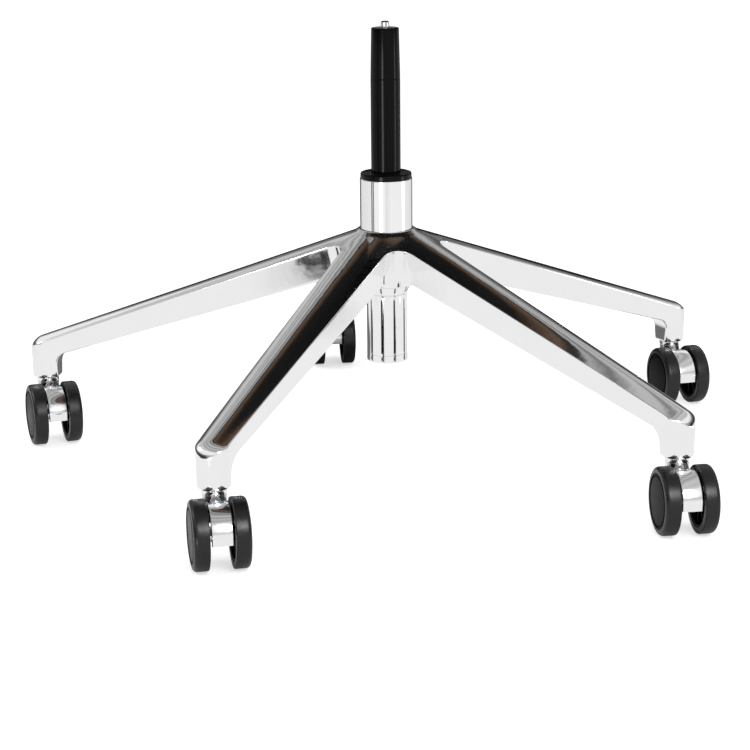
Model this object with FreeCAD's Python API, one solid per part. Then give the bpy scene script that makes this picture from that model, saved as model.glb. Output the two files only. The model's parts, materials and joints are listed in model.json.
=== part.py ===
import FreeCAD, Part
import math
import os

# Five star base of an office chair with its gas lift column and five twin wheel casters.
# Millimetres, +Z up. The origin is on the floor under the column axis, leg 1 points along -Y.
# Heights are built up from the floor: wheels, caster necks, sockets, legs, hub, then the column.

V = FreeCAD.Vector
UP = V(0, 0, 1)
past = 40.0                  # cutting bodies reach this far past what they cut
running_gap = 0.05           # clearance on the radius of sliding and turning fits

# Casters, twin wheels with the axle behind the swivel axis
wheel_radius = 30.0
wheel_width = 14.0
wheel_inner_face = 10.5      # from the middle plane of the caster
caster_trail = 24.0
caster_headings = (37.1, 33.5, 40.8, 32.3, 44.5)  # trail direction of each caster, degrees from -Y
axle_radius = 3.0
axle_half_length = 20.5
tyre_thickness = 5.4
tyre_edge_radius = 3.8
tyre_inner_edge = 1.0
tyre_slope = 0.9             # how far the tyre's outer side falls back towards the tread
tyre_seat = 0.4              # the tyre's side starts this far inside the wheel's outer face
core_groove_radius = 21.6    # ring groove round the wheel disc
core_groove_width = 1.1
core_groove_depth = 1.3
core_disc_recess = 0.5
core_edge = 0.3              # small chamfer along the groove and the disc
core_boss_radius = 7.5
core_web_inner = 15.5        # inner side of the wheel disc, from the middle plane
core_rim_thickness = 2.4
core_rim_inset = 0.6         # the rim's inner edge lies this far inside the tyre's
core_rib_count = 8
core_rib_thickness = 1.6
core_rib_set_back = 2.2      # the ribs lie this far behind the wheel's inner face
axle_end_room = 0.5
hood_half_width = 9.0
hood_thickness = 3.0
hood_gap = 3.0               # the hood's outer face lies this far inside the tread
hood_lip_rise = 5.6          # the drum ends and the flat lip starts this far above the axle
hood_lip_length = 7.3
hood_radius = wheel_radius - hood_gap
hood_lip_top = wheel_radius + hood_lip_rise
hood_lip_bottom = hood_lip_top - hood_lip_length
web_half_width = 3.5
axle_boss_radius = 6.5
axle_boss_face = 10.3
wheel_room = 0.8             # room round the wheels where the neck is cut away
neck_radius = 10.9
neck_over_wheels = 2.2
neck_top = 2 * wheel_radius + neck_over_wheels
neck_height = 4.0
neck_edge = 0.6
boss_radius = 10.5
boss_foot = 4.0              # the neck's foot lies this far above the axle
boss_bottom = wheel_radius + boss_foot
stem_radius = 5.5
stem_foot = 10.0             # the stem's foot inside the caster body, above the axle
stem_base = wheel_radius + stem_foot
stem_top_play = 3.0
grip_height = 5.0
grip_wall = 0.8
grip_slot = 2.0
grip_below_top = 12.0
grip_groove_room = 0.2

# Caster sockets at the ends of the legs
socket_gap = 0.3             # between neck and socket, where the caster turns
socket_bottom = neck_top + socket_gap
socket_length = 37.6         # from the bottom up to the top edge of the side wall
socket_radius_top = 14.9     # at the height of the top edge
socket_radius_bottom = 14.4
socket_rounding = 2.6
socket_fillet = 14.0         # curve from the leg's lower edge down into the socket
socket_foot_inset = 1.5      # where that curve ends inside the socket
stem_socket_depth = 34.0

# Star casting, one leg measured along its own axis from the column
leg_count = 5
leg_reach = 342.0            # column axis to caster swivel axis
leg_rise = 122.1             # rise of the top edge from the swivel axis to the column axis
edge_height_at_tip = socket_bottom + socket_length
edge_height_at_axis = edge_height_at_tip + leg_rise
wall_depth_at_axis = 34.8    # height of the side wall, carried back to the column axis
wall_depth_at_tip = 18.0
half_width_at_axis = 24.6    # half width at the top edge, at the column axis
half_width_at_tip = 14.7     # half width at the top edge, at the swivel axis
crown_at_axis = 4.2          # rise of the rounded top over its edges, at the column axis
crown_at_tip = 5.1           # the same rise at the swivel axis
wall_lean = 0.145            # sideways lean of the side walls for each unit of depth
web_radius = 17.0            # rounded corner between two neighbouring legs
web_overlap = 0.05
web_step = 0.5               # the web's lower side lies this far above the lower edges of the walls
skin_side = 4.0              # thickness of the side walls
skin_top = 5.0               # thickness of the top skin
hollow_crown_share = 0.3     # how much of the crown the channel's roof follows
nose_radius = 17.0           # bend from the sloping top down into the end of the leg
nose_stand = 0.3
rib_thickness = 3.0
rib_stations = (95.0, 160.0, 225.0)
rib_relief = 7.0             # ribs stop this far above the lower edge of the wall

# Hub
hub_barrel_radius = 30.0
hub_lip_radius = 27.4
hub_lip_drop = 3.9           # the lip ends this far below the side walls' edge at the axis
hub_lip_top = edge_height_at_axis - hub_lip_drop
hub_length = 53.3
hub_bottom = hub_lip_top - hub_length
hollow_from_hub = 3.0        # the channels under the legs start this far outside the barrel

# Standpipe, the outer tube of the gas lift
pipe_radius = 25.0
pipe_stand = 48.5            # how far it stands above the hub
pipe_top = hub_lip_top + pipe_stand
pipe_radius_at_hub_bottom = 23.0
pipe_wall = 2.4
pipe_bore_inset = 0.6        # the upper bore is this much tighter than the wall alone gives
pipe_edge = 0.8
pipe_low_radius = 19.5       # fluted lower end
pipe_flare_drop = 9.0        # the flare ends this far below the hub
pipe_flare_low = hub_bottom - pipe_flare_drop
pipe_flare_step = 1.6        # first, flatter part of the flare
pipe_flare_rise = 3.0
pipe_below_hub = 76.8
pipe_bottom = hub_bottom - pipe_below_hub
pipe_bottom_chamfer = 1.2
pipe_bottom_lip = 2.8
pipe_bottom_hole = 9.5
flute_count = 10
flute_first = 28.0           # angle of the first flute from +X, in degrees
flute_width = 1.8
flute_depth = 0.9
flute_foot = 8.8             # plain rim of the tube below the flutes
flute_bottom = pipe_bottom + flute_foot
bushing_length = 72.0
bushing_edge = 1.0
bushing_collar_height = 5.3
bushing_collar_radius = 24.4
bushing_collar_rounding = 1.6
bushing_lead = 0.8           # lead-in chamfer of the bore

# Lift cylinder, piston and rod
cylinder_radius = 14.0
cylinder_wall = 2.0
cylinder_inside = 66.8       # how far it reaches into the standpipe when fully raised
cylinder_outside = 94.2      # straight part above the standpipe
cylinder_bottom = pipe_top - cylinder_inside
cylinder_straight_top = pipe_top + cylinder_outside
cylinder_taper_length = 47.0
cylinder_taper_top_radius = 13.0
cylinder_taper_chamfer = 1.0
cylinder_edge = 0.8
cylinder_head = 17.0         # solid end above the gas room
rod_radius = 5.0
rod_spigot_radius = 4.0
gland_length = 14.0
gland_seat = 2.0             # rolled lower end of the cylinder, which holds the gland
gland_lip = 1.5              # how far that end is rolled in
piston_length = 10.0
piston_play = 6.0            # gas room left between piston and gland when fully extended
piston_nut = 0.6             # chamfered end of the rod above the piston
button_radius = 4.0
button_stand = 6.0           # how far the release button stands out
button_depth = 12.0
button_travel = 3.0
button_edge = 1.0

# Turning bearing at the bottom of the standpipe
plate_thickness = 3.0
race_thickness = 2.0
race_radius = 14.5
race_gap = 0.3               # clearance of the lower race round the spigot
ball_radius = 2.0
ball_count = 10
ball_circle = 9.5
ball_room = 0.1
cage_height = 2.4
cage_inner = 6.5
cage_outer = 12.6
bumper_length = 10.0
bumper_radius = 13.0
bumper_waist = 1.2
clip_thickness = 1.0
clip_radius = 7.5
clip_mouth = 4.8
clip_play = 0.1
clip_groove = 0.8
rod_end = 1.0                # rod below the clip's groove
rod_edge = 0.4


def solid_of(shape):
    return shape.removeSplitter()


def lathe(points):
    """Solid of revolution about Z from corner points (radius, height)."""
    wire = Part.makePolygon([V(r, 0, z) for r, z in points + [points[0]]])
    return Part.Face(wire).revolve(V(0, 0, 0), UP, 360)


def lathe_edges(edges):
    return Part.Face(Part.Wire(edges)).revolve(V(0, 0, 0), UP, 360)


def rod(radius, low, high, x=0.0, y=0.0):
    return Part.makeCylinder(radius, high - low, V(x, y, low), UP)


def ring(inner, outer, low, high):
    return rod(outer, low, high).cut(rod(inner, low - 1, high + 1))


def box(x0, x1, y0, y1, z0, z1):
    return Part.makeBox(x1 - x0, y1 - y0, z1 - z0, V(x0, y0, z0))


def polygon_prism(points, half_width):
    """Prism across Y from corner points (x, z)."""
    wire = Part.makePolygon([V(x, -half_width, z) for x, z in points + [points[0]]])
    return Part.Face(wire).extrude(V(0, 2 * half_width, 0))


def turned(shape, degrees):
    copy = shape.copy()
    copy.rotate(V(0, 0, 0), UP, degrees)
    return copy


def heading_turn(degrees_from_minus_y):
    """Turn that brings +X to a direction measured from -Y towards +X."""
    return degrees_from_minus_y - 90.0


def line_between(at_axis, at_tip):
    """Height or width along the leg as a function of the distance from the column axis."""
    return lambda s: at_axis + (at_tip - at_axis) * s / leg_reach


edge_height = line_between(edge_height_at_axis, edge_height_at_tip)
wall_depth = line_between(wall_depth_at_axis, wall_depth_at_tip)
half_width = line_between(half_width_at_axis, half_width_at_tip)
crown = line_between(crown_at_axis, crown_at_tip)
leg_pitch = 360.0 / leg_count


def keel_height(s):
    """Height of the side wall's lower edge."""
    return edge_height(s) - wall_depth(s)


def wall_y(s, z):
    """Half width of the leg's outer wall at distance s and height z."""
    return half_width(s) + wall_lean * (z - edge_height(s))


def section(s, low, high, inset):
    """Trapezoid across the leg between two heights, moved in from the outer wall."""
    corners = [(-1, low), (-1, high), (1, high), (1, low), (-1, low)]
    return Part.makePolygon([V(s, side * (wall_y(s, z) - inset), z) for side, z in corners])


def ridge_height(s):
    """Height of the crown line along the middle of the leg."""
    return edge_height(s) + crown(s)


ridge_slope = math.atan2(ridge_height(0) - ridge_height(leg_reach), leg_reach)


def crown_radius(s):
    """Radius of the rounded top across the leg, square to its slope."""
    rise = crown(s) * math.cos(ridge_slope)
    return (half_width(s) ** 2 + rise ** 2) / (2 * rise)


# The rounded top is a cone whose ridge line runs along the leg to this apex beyond its end
apex_reach = leg_reach * crown_radius(0) / (crown_radius(0) - crown_radius(leg_reach))
apex_slant = apex_reach / math.cos(ridge_slope)
apex_half_angle = math.atan2(crown_radius(0), apex_slant)


def cone_radius(s):
    return (apex_reach - s) / math.cos(ridge_slope) * math.tan(apex_half_angle)


def roof_height(s, y):
    """Height of the rounded top at distance s and y to the side."""
    radius = cone_radius(s)
    return ridge_height(s) - (radius - math.sqrt(radius * radius - y * y)) / math.cos(ridge_slope)


def crown_cone():
    """Cone of the rounded top, from behind the column axis to near its apex."""
    tilt = ridge_slope - apex_half_angle
    direction = V(math.cos(tilt), 0, -math.sin(tilt))
    apex = V(apex_reach, 0, ridge_height(apex_reach))
    far = apex_reach + past
    near = apex_reach - leg_reach - past
    spread = math.tan(apex_half_angle)
    return Part.makeCone(far * spread, near * spread, far - near, apex - direction * far, direction)


def leg_outer():
    """One leg with its socket end, solid, pointing along +X."""
    above = 2 * crown_at_tip
    end = leg_reach
    wires = [section(s, keel_height(s), edge_height(s) + above, 0) for s in (0, end)]
    leg = Part.makeLoft(wires, True, True)
    lean = (socket_radius_top - socket_radius_bottom) / (edge_height_at_tip - socket_bottom)
    top_room = crown_at_tip + nose_radius
    top = edge_height_at_tip + top_room
    round_low = socket_bottom + socket_rounding
    arc_middle = socket_rounding * (1 - math.sqrt(0.5))
    r_top = socket_radius_top + lean * top_room
    r_low = socket_radius_bottom + lean * socket_rounding
    post = [
        Part.LineSegment(V(0, 0, socket_bottom), V(r_low - socket_rounding, 0, socket_bottom)).toShape(),
        Part.Arc(V(r_low - socket_rounding, 0, socket_bottom),
                 V(r_low - arc_middle, 0, socket_bottom + arc_middle),
                 V(r_low, 0, round_low)).toShape(),
        Part.LineSegment(V(r_low, 0, round_low), V(r_top, 0, top)).toShape(),
        Part.LineSegment(V(r_top, 0, top), V(0, 0, top)).toShape(),
        Part.LineSegment(V(0, 0, top), V(0, 0, socket_bottom)).toShape(),
    ]
    socket = lathe_edges(post)
    socket.translate(V(leg_reach, 0, 0))
    return leg.fuse([socket, socket_gusset()])


# The flank between keel and socket: the slope it starts from, its foot and how far it reaches back
keel_fall = math.atan2(keel_height(0) - keel_height(leg_reach), leg_reach)
gusset_foot = leg_reach - socket_radius_bottom + socket_foot_inset
gusset_reach = socket_fillet * math.tan((math.pi / 2 - keel_fall) / 2)


def socket_gusset():
    """Curved flank that carries the lower edge of the leg down into the socket."""
    radius = socket_fillet
    inset = 0.15             # the flank's sides lie just inside the walls
    inside_reach = socket_radius_bottom / 2
    turn = math.pi / 2 - keel_fall
    corner = V(gusset_foot, 0, keel_height(gusset_foot))
    start = corner - V(math.cos(keel_fall), 0, -math.sin(keel_fall)) * gusset_reach
    stop = corner - V(0, 0, gusset_reach)
    centre = stop - V(radius, 0, 0)
    middle = centre + V(math.cos(turn / 2), 0, math.sin(turn / 2)) * radius
    cover = wall_depth_at_tip / 4
    inside = V(gusset_foot + inside_reach, 0, stop.z)
    inside_top = V(gusset_foot + inside_reach, 0, corner.z + cover)
    inside_start = start + V(0, 0, cover)
    half = wall_y(start.x, keel_height(start.x)) - inset
    shift = V(0, -half, 0)
    face = Part.Face(Part.Wire([
        Part.Arc(start + shift, middle + shift, stop + shift).toShape(),
        Part.LineSegment(stop + shift, inside + shift).toShape(),
        Part.LineSegment(inside + shift, inside_top + shift).toShape(),
        Part.LineSegment(inside_top + shift, inside_start + shift).toShape(),
        Part.LineSegment(inside_start + shift, start + shift).toShape(),
    ]))
    return face.extrude(V(0, 2 * half, 0))


def wedge(reach):
    """Sector of the star that belongs to one leg, pointing along +X."""
    half_pitch = math.radians(leg_pitch / 2)
    side = reach * math.tan(half_pitch)
    wire = Part.makePolygon([V(0, 0, 0), V(reach, -side, 0), V(reach, side, 0), V(0, 0, 0)])
    return Part.Face(wire).extrude(V(0, 0, edge_height_at_axis + 2 * past))


def above_crown():
    """Everything over the rounded top of a leg, inside the leg's own sector."""
    side = half_width_at_axis + web_radius
    start = -2.0
    end = leg_reach + past
    depth = 20.0
    slab = polygon_prism([
        (start, ridge_height(start) - depth), (end, ridge_height(end) - depth),
        (end, ridge_height(end) + past), (start, ridge_height(start) + past)], side)
    return slab.cut(crown_cone()).common(wedge(leg_reach + past))


def round_nose():
    """Material outside the bend at the end of a leg, which keeps the crown round the bend."""
    nose_end = leg_reach + socket_radius_top + nose_stand
    centre_s = nose_end - nose_radius
    start_s = centre_s + nose_radius * math.sin(ridge_slope)
    centre_z = ridge_height(start_s) - nose_radius * math.cos(ridge_slope)
    side = half_width_at_tip + 3.0
    lift = 0.15      # the bend starts this far above the crown, so that the two cross cleanly
    across = V(0, 1, 0)
    fall = cone_radius(start_s) - math.sqrt(cone_radius(start_s) ** 2 - side ** 2)
    back = start_s - fall * math.sin(ridge_slope)
    rise = V(math.sin(ridge_slope), 0, math.cos(ridge_slope)) * lift
    low = ridge_height(start_s) - fall * math.cos(ridge_slope)
    left = V(back, -side, low) + rise
    middle = V(start_s, 0, ridge_height(start_s)) + rise
    right = V(back, side, low) + rise
    foot_left = V(centre_s, -side, centre_z)
    foot_right = V(centre_s, side, centre_z)
    slab = Part.Face(Part.Wire([
        Part.Arc(left, middle, right).toShape(),
        Part.LineSegment(right, foot_right).toShape(),
        Part.LineSegment(foot_right, foot_left).toShape(),
        Part.LineSegment(foot_left, left).toShape(),
    ]))
    kept = slab.revolve(V(centre_s, 0, centre_z), across, 90.0 - math.degrees(ridge_slope))
    reach = nose_radius + past
    outside = polygon_prism([
        (centre_s, centre_z),
        (centre_s + reach, centre_z),
        (centre_s + reach, centre_z + reach),
        (centre_s + reach * math.sin(ridge_slope), centre_z + reach * math.cos(ridge_slope)),
    ], side - 0.5)
    return outside.cut(kept)


def leg_hollow():
    """Open channel under a leg, with the round socket boss and cross ribs left standing."""
    start = hub_barrel_radius + hollow_from_hub
    end = gusset_foot - gusset_reach - skin_side
    wires = []
    for s in (start, end):
        low = keel_height(s) - 10.0
        top = edge_height(s) + crown(s) * hollow_crown_share - skin_top
        y_top = wall_y(s, top) - skin_side
        y_low = wall_y(s, keel_height(s)) - skin_side
        wires.append(Part.makePolygon([
            V(s, -y_low, low), V(s, -y_low, keel_height(s)), V(s, -y_top, top),
            V(s, y_top, top), V(s, y_low, keel_height(s)), V(s, y_low, low), V(s, -y_low, low)]))
    hollow = Part.makeLoft(wires, True, True)
    ribs = []
    half = rib_thickness / 2
    side = half_width_at_axis
    for s in rib_stations:
        ribs.append(box(s - half, s + half, -side, side, keel_height(s) + rib_relief, ridge_height(0)))
    return hollow.cut(ribs)


def tangent_web(z):
    """Arc that rounds the corner between two legs at height z: centre distance and half angle."""
    y0 = wall_y(0, z) - web_overlap
    y1 = wall_y(leg_reach, z) - web_overlap
    slope = math.atan2(y1 - y0, leg_reach)
    half_pitch = math.radians(leg_pitch / 2)
    offset = y0 + web_radius / math.cos(slope)
    centre = offset / (math.sin(half_pitch) - math.tan(slope) * math.cos(half_pitch))
    return centre, math.pi / 2 - half_pitch + slope


def web_between_legs():
    """Filled corner between leg 1 and leg 2, drawn about the bisector along +X."""
    levels = (hub_bottom, edge_height_at_axis)
    back_x = pipe_radius / 2
    back_y = pipe_radius / 4
    wires = []
    for z in levels:
        centre, half = tangent_web(z)
        a = V(centre - web_radius * math.cos(half), -web_radius * math.sin(half), z)
        b = V(centre - web_radius, 0, z)
        c = V(centre - web_radius * math.cos(half), web_radius * math.sin(half), z)
        wires.append(Part.Wire([
            Part.Arc(a, b, c).toShape(),
            Part.LineSegment(c, V(back_x, back_y, z)).toShape(),
            Part.LineSegment(V(back_x, back_y, z), V(back_x, -back_y, z)).toShape(),
            Part.LineSegment(V(back_x, -back_y, z), a).toShape(),
        ]))
    web = Part.makeLoft(wires, True, True)
    top = bisector_plane(edge_height, crown_at_axis)
    bottom = bisector_plane(keel_height, web_step)
    near = back_x / 2
    far = tangent_web(edge_height_at_axis)[0] + web_radius
    keep = polygon_prism([(near, bottom(near)), (far, bottom(far)), (far, top(far)), (near, top(near))], far)
    return web.common(keep)


def bisector_plane(height, lift):
    """Plane through the same edge of two neighbouring legs, as its height along their bisector."""
    half_pitch = math.radians(leg_pitch / 2)
    near = corner_on_bisector(height)
    s = leg_reach
    y = wall_y(s, height(s))
    far_x = s * math.cos(half_pitch) + y * math.sin(half_pitch)
    fall = (near.z - height(s)) / (far_x - near.x)
    return lambda x: near.z - fall * (x - near.x) + lift


def corner_on_bisector(height):
    """Point where the edges of two neighbouring legs would meet without the rounded web."""
    half_pitch = math.radians(leg_pitch / 2)
    low = 0.0
    high = leg_reach
    for _ in range(60):
        s = (low + high) / 2
        if s * math.tan(half_pitch) < wall_y(s, height(s)):
            low = s
        else:
            high = s
    return V(s / math.cos(half_pitch), 0, height(s))


def pipe_cone_radius(z):
    """Radius of the tapered seat between standpipe and hub at height z."""
    share = (hub_lip_top - z) / (hub_lip_top - hub_bottom)
    return pipe_radius - share * (pipe_radius - pipe_radius_at_hub_bottom)


def star_base():
    leg = leg_outer()
    web = web_between_legs()
    top = above_crown()
    nose = round_nose()
    hollow = leg_hollow()
    bore = rod(stem_radius + running_gap, socket_bottom - past, socket_bottom + stem_socket_depth, leg_reach)
    turns = [heading_turn(k * leg_pitch) for k in range(leg_count)]
    legs = [turned(leg, turn) for turn in turns]
    webs = [turned(web, turn + leg_pitch / 2) for turn in turns]
    barrel = rod(hub_barrel_radius, hub_bottom, roof_height(hub_barrel_radius, 0) - crown_at_axis)
    body = legs[0].fuse(legs[1:] + webs + [barrel])
    body = body.cut([turned(top, turn) for turn in turns])
    body = body.cut([turned(nose, turn) for turn in turns])
    body = body.fuse(rod(hub_lip_radius, hub_bottom + hub_length / 2, hub_lip_top))
    below = hub_bottom - past
    above = hub_lip_top + past
    seat = lathe([(0, below), (pipe_cone_radius(below), below), (pipe_cone_radius(hub_lip_top), hub_lip_top),
                  (pipe_radius, above), (0, above)])
    hollows = [turned(hollow, turn) for turn in turns]
    bores = [turned(bore, turn) for turn in turns]
    return solid_of(body.cut(hollows).cut(bores + [seat]))


def pipe_outline(inset):
    """Outer outline of the standpipe below the hub, moved in by inset: (radius, height)."""
    return [
        (pipe_low_radius - inset, pipe_bottom + pipe_bottom_chamfer),
        (pipe_low_radius - inset, pipe_flare_low),
        (pipe_low_radius + pipe_flare_step - inset, pipe_flare_low + pipe_flare_rise),
        (pipe_radius_at_hub_bottom - pipe_bore_inset - inset, hub_bottom - pipe_flare_rise),
        (pipe_radius_at_hub_bottom - inset, hub_bottom),
        (pipe_radius - inset, hub_lip_top),
    ]


def standpipe():
    low_bore = pipe_low_radius - pipe_wall
    high_bore = pipe_radius - pipe_wall - pipe_bore_inset
    outer = [(pipe_low_radius - pipe_bottom_chamfer, pipe_bottom)] + pipe_outline(0) + [
        (pipe_radius, pipe_top - pipe_edge), (pipe_radius - pipe_edge, pipe_top)]
    inner = [
        (high_bore, pipe_top),
        (high_bore, bushing_bottom()),
        (low_bore, pipe_flare_low - pipe_flare_rise),
        (low_bore, pipe_bottom + pipe_bottom_lip),
        (pipe_bottom_hole, pipe_bottom + pipe_bottom_lip),
        (pipe_bottom_hole, pipe_bottom),
    ]
    tube = lathe(outer + inner)
    shell = lathe([(0, flute_bottom), (pipe_radius, flute_bottom), (pipe_radius, hub_bottom), (0, hub_bottom)])
    core = lathe([(0, pipe_bottom)] + [(pipe_low_radius - flute_depth, pipe_bottom)]
                 + pipe_outline(flute_depth)[1:] + [(0, hub_lip_top)])
    around = shell.cut(core)
    slot = around.common(box(0, past, -flute_width / 2, flute_width / 2, 0, pipe_top))
    slots = [turned(slot, flute_first + k * 360.0 / flute_count) for k in range(flute_count)]
    return tube.cut(slots)


def bushing_bottom():
    return pipe_top - bushing_length


def guide_bushing():
    bore = cylinder_radius + running_gap
    outer = pipe_radius - pipe_wall - pipe_bore_inset
    top = pipe_top + bushing_collar_height
    bend = bushing_collar_rounding
    collar = bushing_collar_radius
    middle = bend * (1 - math.sqrt(0.5))
    low = bushing_bottom()
    corners = [V(bore + bushing_lead, 0, top), V(bore, 0, top - bushing_lead), V(bore, 0, low),
               V(outer - bushing_edge, 0, low), V(outer, 0, low + bushing_edge),
               V(outer, 0, pipe_top), V(collar, 0, pipe_top), V(collar, 0, top - bend)]
    edges = [Part.LineSegment(a, b).toShape() for a, b in zip(corners, corners[1:])]
    edges.append(Part.Arc(V(collar, 0, top - bend), V(collar - middle, 0, top - middle),
                          V(collar - bend, 0, top)).toShape())
    edges.append(Part.LineSegment(V(collar - bend, 0, top), corners[0]).toShape())
    return lathe_edges(edges)


def lift_cylinder():
    bore = cylinder_radius - cylinder_wall
    top = cylinder_straight_top + cylinder_taper_length
    room_top = top - cylinder_head
    chamfer = cylinder_taper_chamfer
    button_bore = button_radius + running_gap
    button_floor = top - button_depth - button_travel - button_edge
    ceiling = room_top - 2 * cylinder_wall
    return lathe([
        (bore - gland_lip, cylinder_bottom),
        (cylinder_radius - cylinder_edge, cylinder_bottom),
        (cylinder_radius, cylinder_bottom + cylinder_edge),
        (cylinder_radius, cylinder_straight_top),
        (cylinder_taper_top_radius, top - chamfer),
        (cylinder_taper_top_radius - chamfer, top),
        (button_bore, top),
        (button_bore, button_floor),
        (0, button_floor),
        (0, ceiling),
        (bore, ceiling),
        (bore, cylinder_bottom + gland_seat),
        (bore - gland_lip, cylinder_bottom + gland_seat),
    ])


def gland_top():
    return cylinder_bottom + gland_seat + gland_length


def rod_gland():
    return ring(rod_radius + running_gap, cylinder_radius - cylinder_wall, cylinder_bottom + gland_seat, gland_top())


def piston_bottom():
    return gland_top() + piston_play


def piston():
    bore = cylinder_radius - cylinder_wall - running_gap
    low = piston_bottom()
    return ring(rod_spigot_radius, bore, low, low + piston_length)


def plate_bottom():
    return pipe_bottom + pipe_bottom_lip


def plate_top():
    return plate_bottom() + plate_thickness


def race_levels():
    lower = plate_top()
    balls = lower + race_thickness
    upper = balls + 2 * ball_radius
    return lower, balls, upper, upper + race_thickness


def piston_rod():
    shoulder = race_levels()[3]
    groove_high = plate_bottom() - clip_play
    groove_low = groove_high - clip_thickness
    foot = groove_low - rod_end
    deep = rod_spigot_radius - clip_groove
    top = piston_bottom() + piston_length
    return lathe([
        (0, foot),
        (rod_spigot_radius - rod_edge, foot),
        (rod_spigot_radius, foot + rod_edge),
        (rod_spigot_radius, groove_low),
        (deep, groove_low),
        (deep, groove_high),
        (rod_spigot_radius, groove_high),
        (rod_spigot_radius, shoulder),
        (rod_radius, shoulder),
        (rod_radius, piston_bottom()),
        (rod_spigot_radius, piston_bottom()),
        (rod_spigot_radius, top),
        (rod_spigot_radius - piston_nut, top + piston_nut),
        (0, top + piston_nut),
    ])


def bottom_plate():
    return ring(rod_spigot_radius + running_gap, pipe_low_radius - pipe_wall, plate_bottom(), plate_top())


def lower_race():
    lower, balls, _, _ = race_levels()
    return ring(rod_spigot_radius + race_gap, race_radius, lower, balls)


def upper_race():
    _, _, upper, top = race_levels()
    return ring(rod_spigot_radius, race_radius, upper, top)


def bearing_ball_at(k):
    middle = race_levels()[1] + ball_radius
    angle = math.radians(360.0 * k / ball_count)
    return Part.makeSphere(ball_radius, V(ball_circle * math.cos(angle), ball_circle * math.sin(angle), middle))


def bearing_balls():
    return Part.makeCompound([bearing_ball_at(k) for k in range(ball_count)])


def bearing_cage():
    middle = race_levels()[1] + ball_radius
    cage = ring(cage_inner, cage_outer, middle - cage_height / 2, middle + cage_height / 2)
    pockets = []
    for k in range(ball_count):
        angle = math.radians(360.0 * k / ball_count)
        x = ball_circle * math.cos(angle)
        y = ball_circle * math.sin(angle)
        pockets.append(rod(ball_radius + ball_room, middle - cage_height, middle + cage_height, x, y))
    return cage.cut(pockets)


def bumper_ring():
    low = race_levels()[3]
    inner = rod_radius
    top = low + bumper_length
    waist = bumper_radius - bumper_waist
    return lathe([
        (inner, low),
        (bumper_radius, low),
        (bumper_radius, low + 0.3 * bumper_length),
        (waist, low + 0.5 * bumper_length),
        (bumper_radius, low + 0.7 * bumper_length),
        (bumper_radius, top - bumper_waist),
        (waist, top),
        (inner, top),
    ])


def retaining_clip():
    high = plate_bottom() - clip_play
    low = high - clip_thickness
    clip = ring(rod_spigot_radius - clip_groove, clip_radius, low, high)
    mouth = box(0, clip_radius + past, -clip_mouth / 2, clip_mouth / 2, low - past, high + past)
    return clip.cut(mouth)


def release_button():
    top = cylinder_straight_top + cylinder_taper_length
    foot = top - button_depth
    crest = top + button_stand
    return lathe([(0, foot), (button_radius, foot), (button_radius, crest - button_edge),
                  (button_radius - button_edge, crest), (0, crest)])


def caster_body():
    """Cast yoke: hood over the wheels, middle web, axle boss and the round neck."""
    centre = V(caster_trail, 0, wheel_radius)
    across = V(0, 1, 0)
    wide = wheel_radius

    def drum(radius, half):
        return Part.makeCylinder(radius, 2 * half, centre - across * half, across)

    front = box(caster_trail, caster_trail + past, -wide, wide, hood_lip_top, 3 * wheel_radius)
    top = box(0, caster_trail, -wide, wide, wheel_radius, 3 * wheel_radius)
    hood = drum(hood_radius, hood_half_width).cut(drum(hood_radius - hood_thickness, wide))
    hood = hood.common(front.fuse(top))
    lip_out = caster_trail + math.sqrt(hood_radius ** 2 - hood_lip_rise ** 2)
    lip_joint = 0.6          # the lip laps this far into the drum
    lip = box(lip_out - hood_thickness, lip_out, -hood_half_width, hood_half_width,
              hood_lip_bottom, hood_lip_top + lip_joint)
    web_inset = 0.6          # the middle web ends this far inside the hood's outer face
    web = drum(hood_radius - web_inset, web_half_width)
    web = web.common(box(-past, lip_out, -wide, wide, hood_lip_bottom, 3 * wheel_radius))
    neck_foot = boss_radius - hood_thickness
    web = web.fuse(polygon_prism([
        (-neck_foot, boss_bottom + 2 * hood_thickness),
        (caster_trail / 2, hood_lip_bottom + 1.0),
        (caster_trail, hood_lip_bottom),
        (caster_trail, wheel_radius + 20.0),
        (0, wheel_radius + 20.0),
    ], web_half_width))
    axle_boss = drum(axle_boss_radius, axle_boss_face)
    neck = rod(boss_radius, boss_bottom, neck_top - neck_height)
    body = hood.fuse([lip, web, axle_boss, neck])
    axle_bore = drum(axle_radius, wide)
    stem_bore = rod(stem_radius, stem_base, stem_base + past)
    return solid_of(body.cut([axle_bore, stem_bore] + wheel_clearance()))


def wheel_clearance():
    """Room for the two wheels beside the round neck, which is wider than the hood."""
    inner = wheel_inner_face - wheel_room
    centre = V(caster_trail, 0, wheel_radius)
    rooms = []
    for side in (-1, 1):
        start = centre + V(0, side * inner, 0)
        outward = V(0, side, 0)
        room = Part.makeCylinder(wheel_radius + wheel_room, wheel_width, start, outward)
        rooms.append(room.cut(Part.makeCylinder(axle_boss_radius, wheel_width, start, outward)))
    return rooms


def neck_ring():
    low = neck_top - neck_height
    bend = neck_edge
    body = lathe([(stem_radius, low), (neck_radius - bend, low), (neck_radius, low + bend),
                  (neck_radius, neck_top - bend), (neck_radius - bend, neck_top), (stem_radius, neck_top)])
    return body.cut(wheel_clearance())


def stem_top():
    return socket_bottom + stem_socket_depth - stem_top_play


def grip_low():
    return stem_top() - grip_below_top


def caster_stem():
    top = stem_top()
    groove = stem_radius - grip_wall
    low = grip_low() - grip_groove_room
    high = grip_low() + grip_height + grip_groove_room
    chamfer = 1.5
    return lathe([
        (0, stem_base),
        (stem_radius, stem_base),
        (stem_radius, low),
        (groove, low),
        (groove, high),
        (stem_radius, high),
        (stem_radius, top - chamfer),
        (stem_radius - chamfer, top),
        (0, top),
    ])


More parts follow.
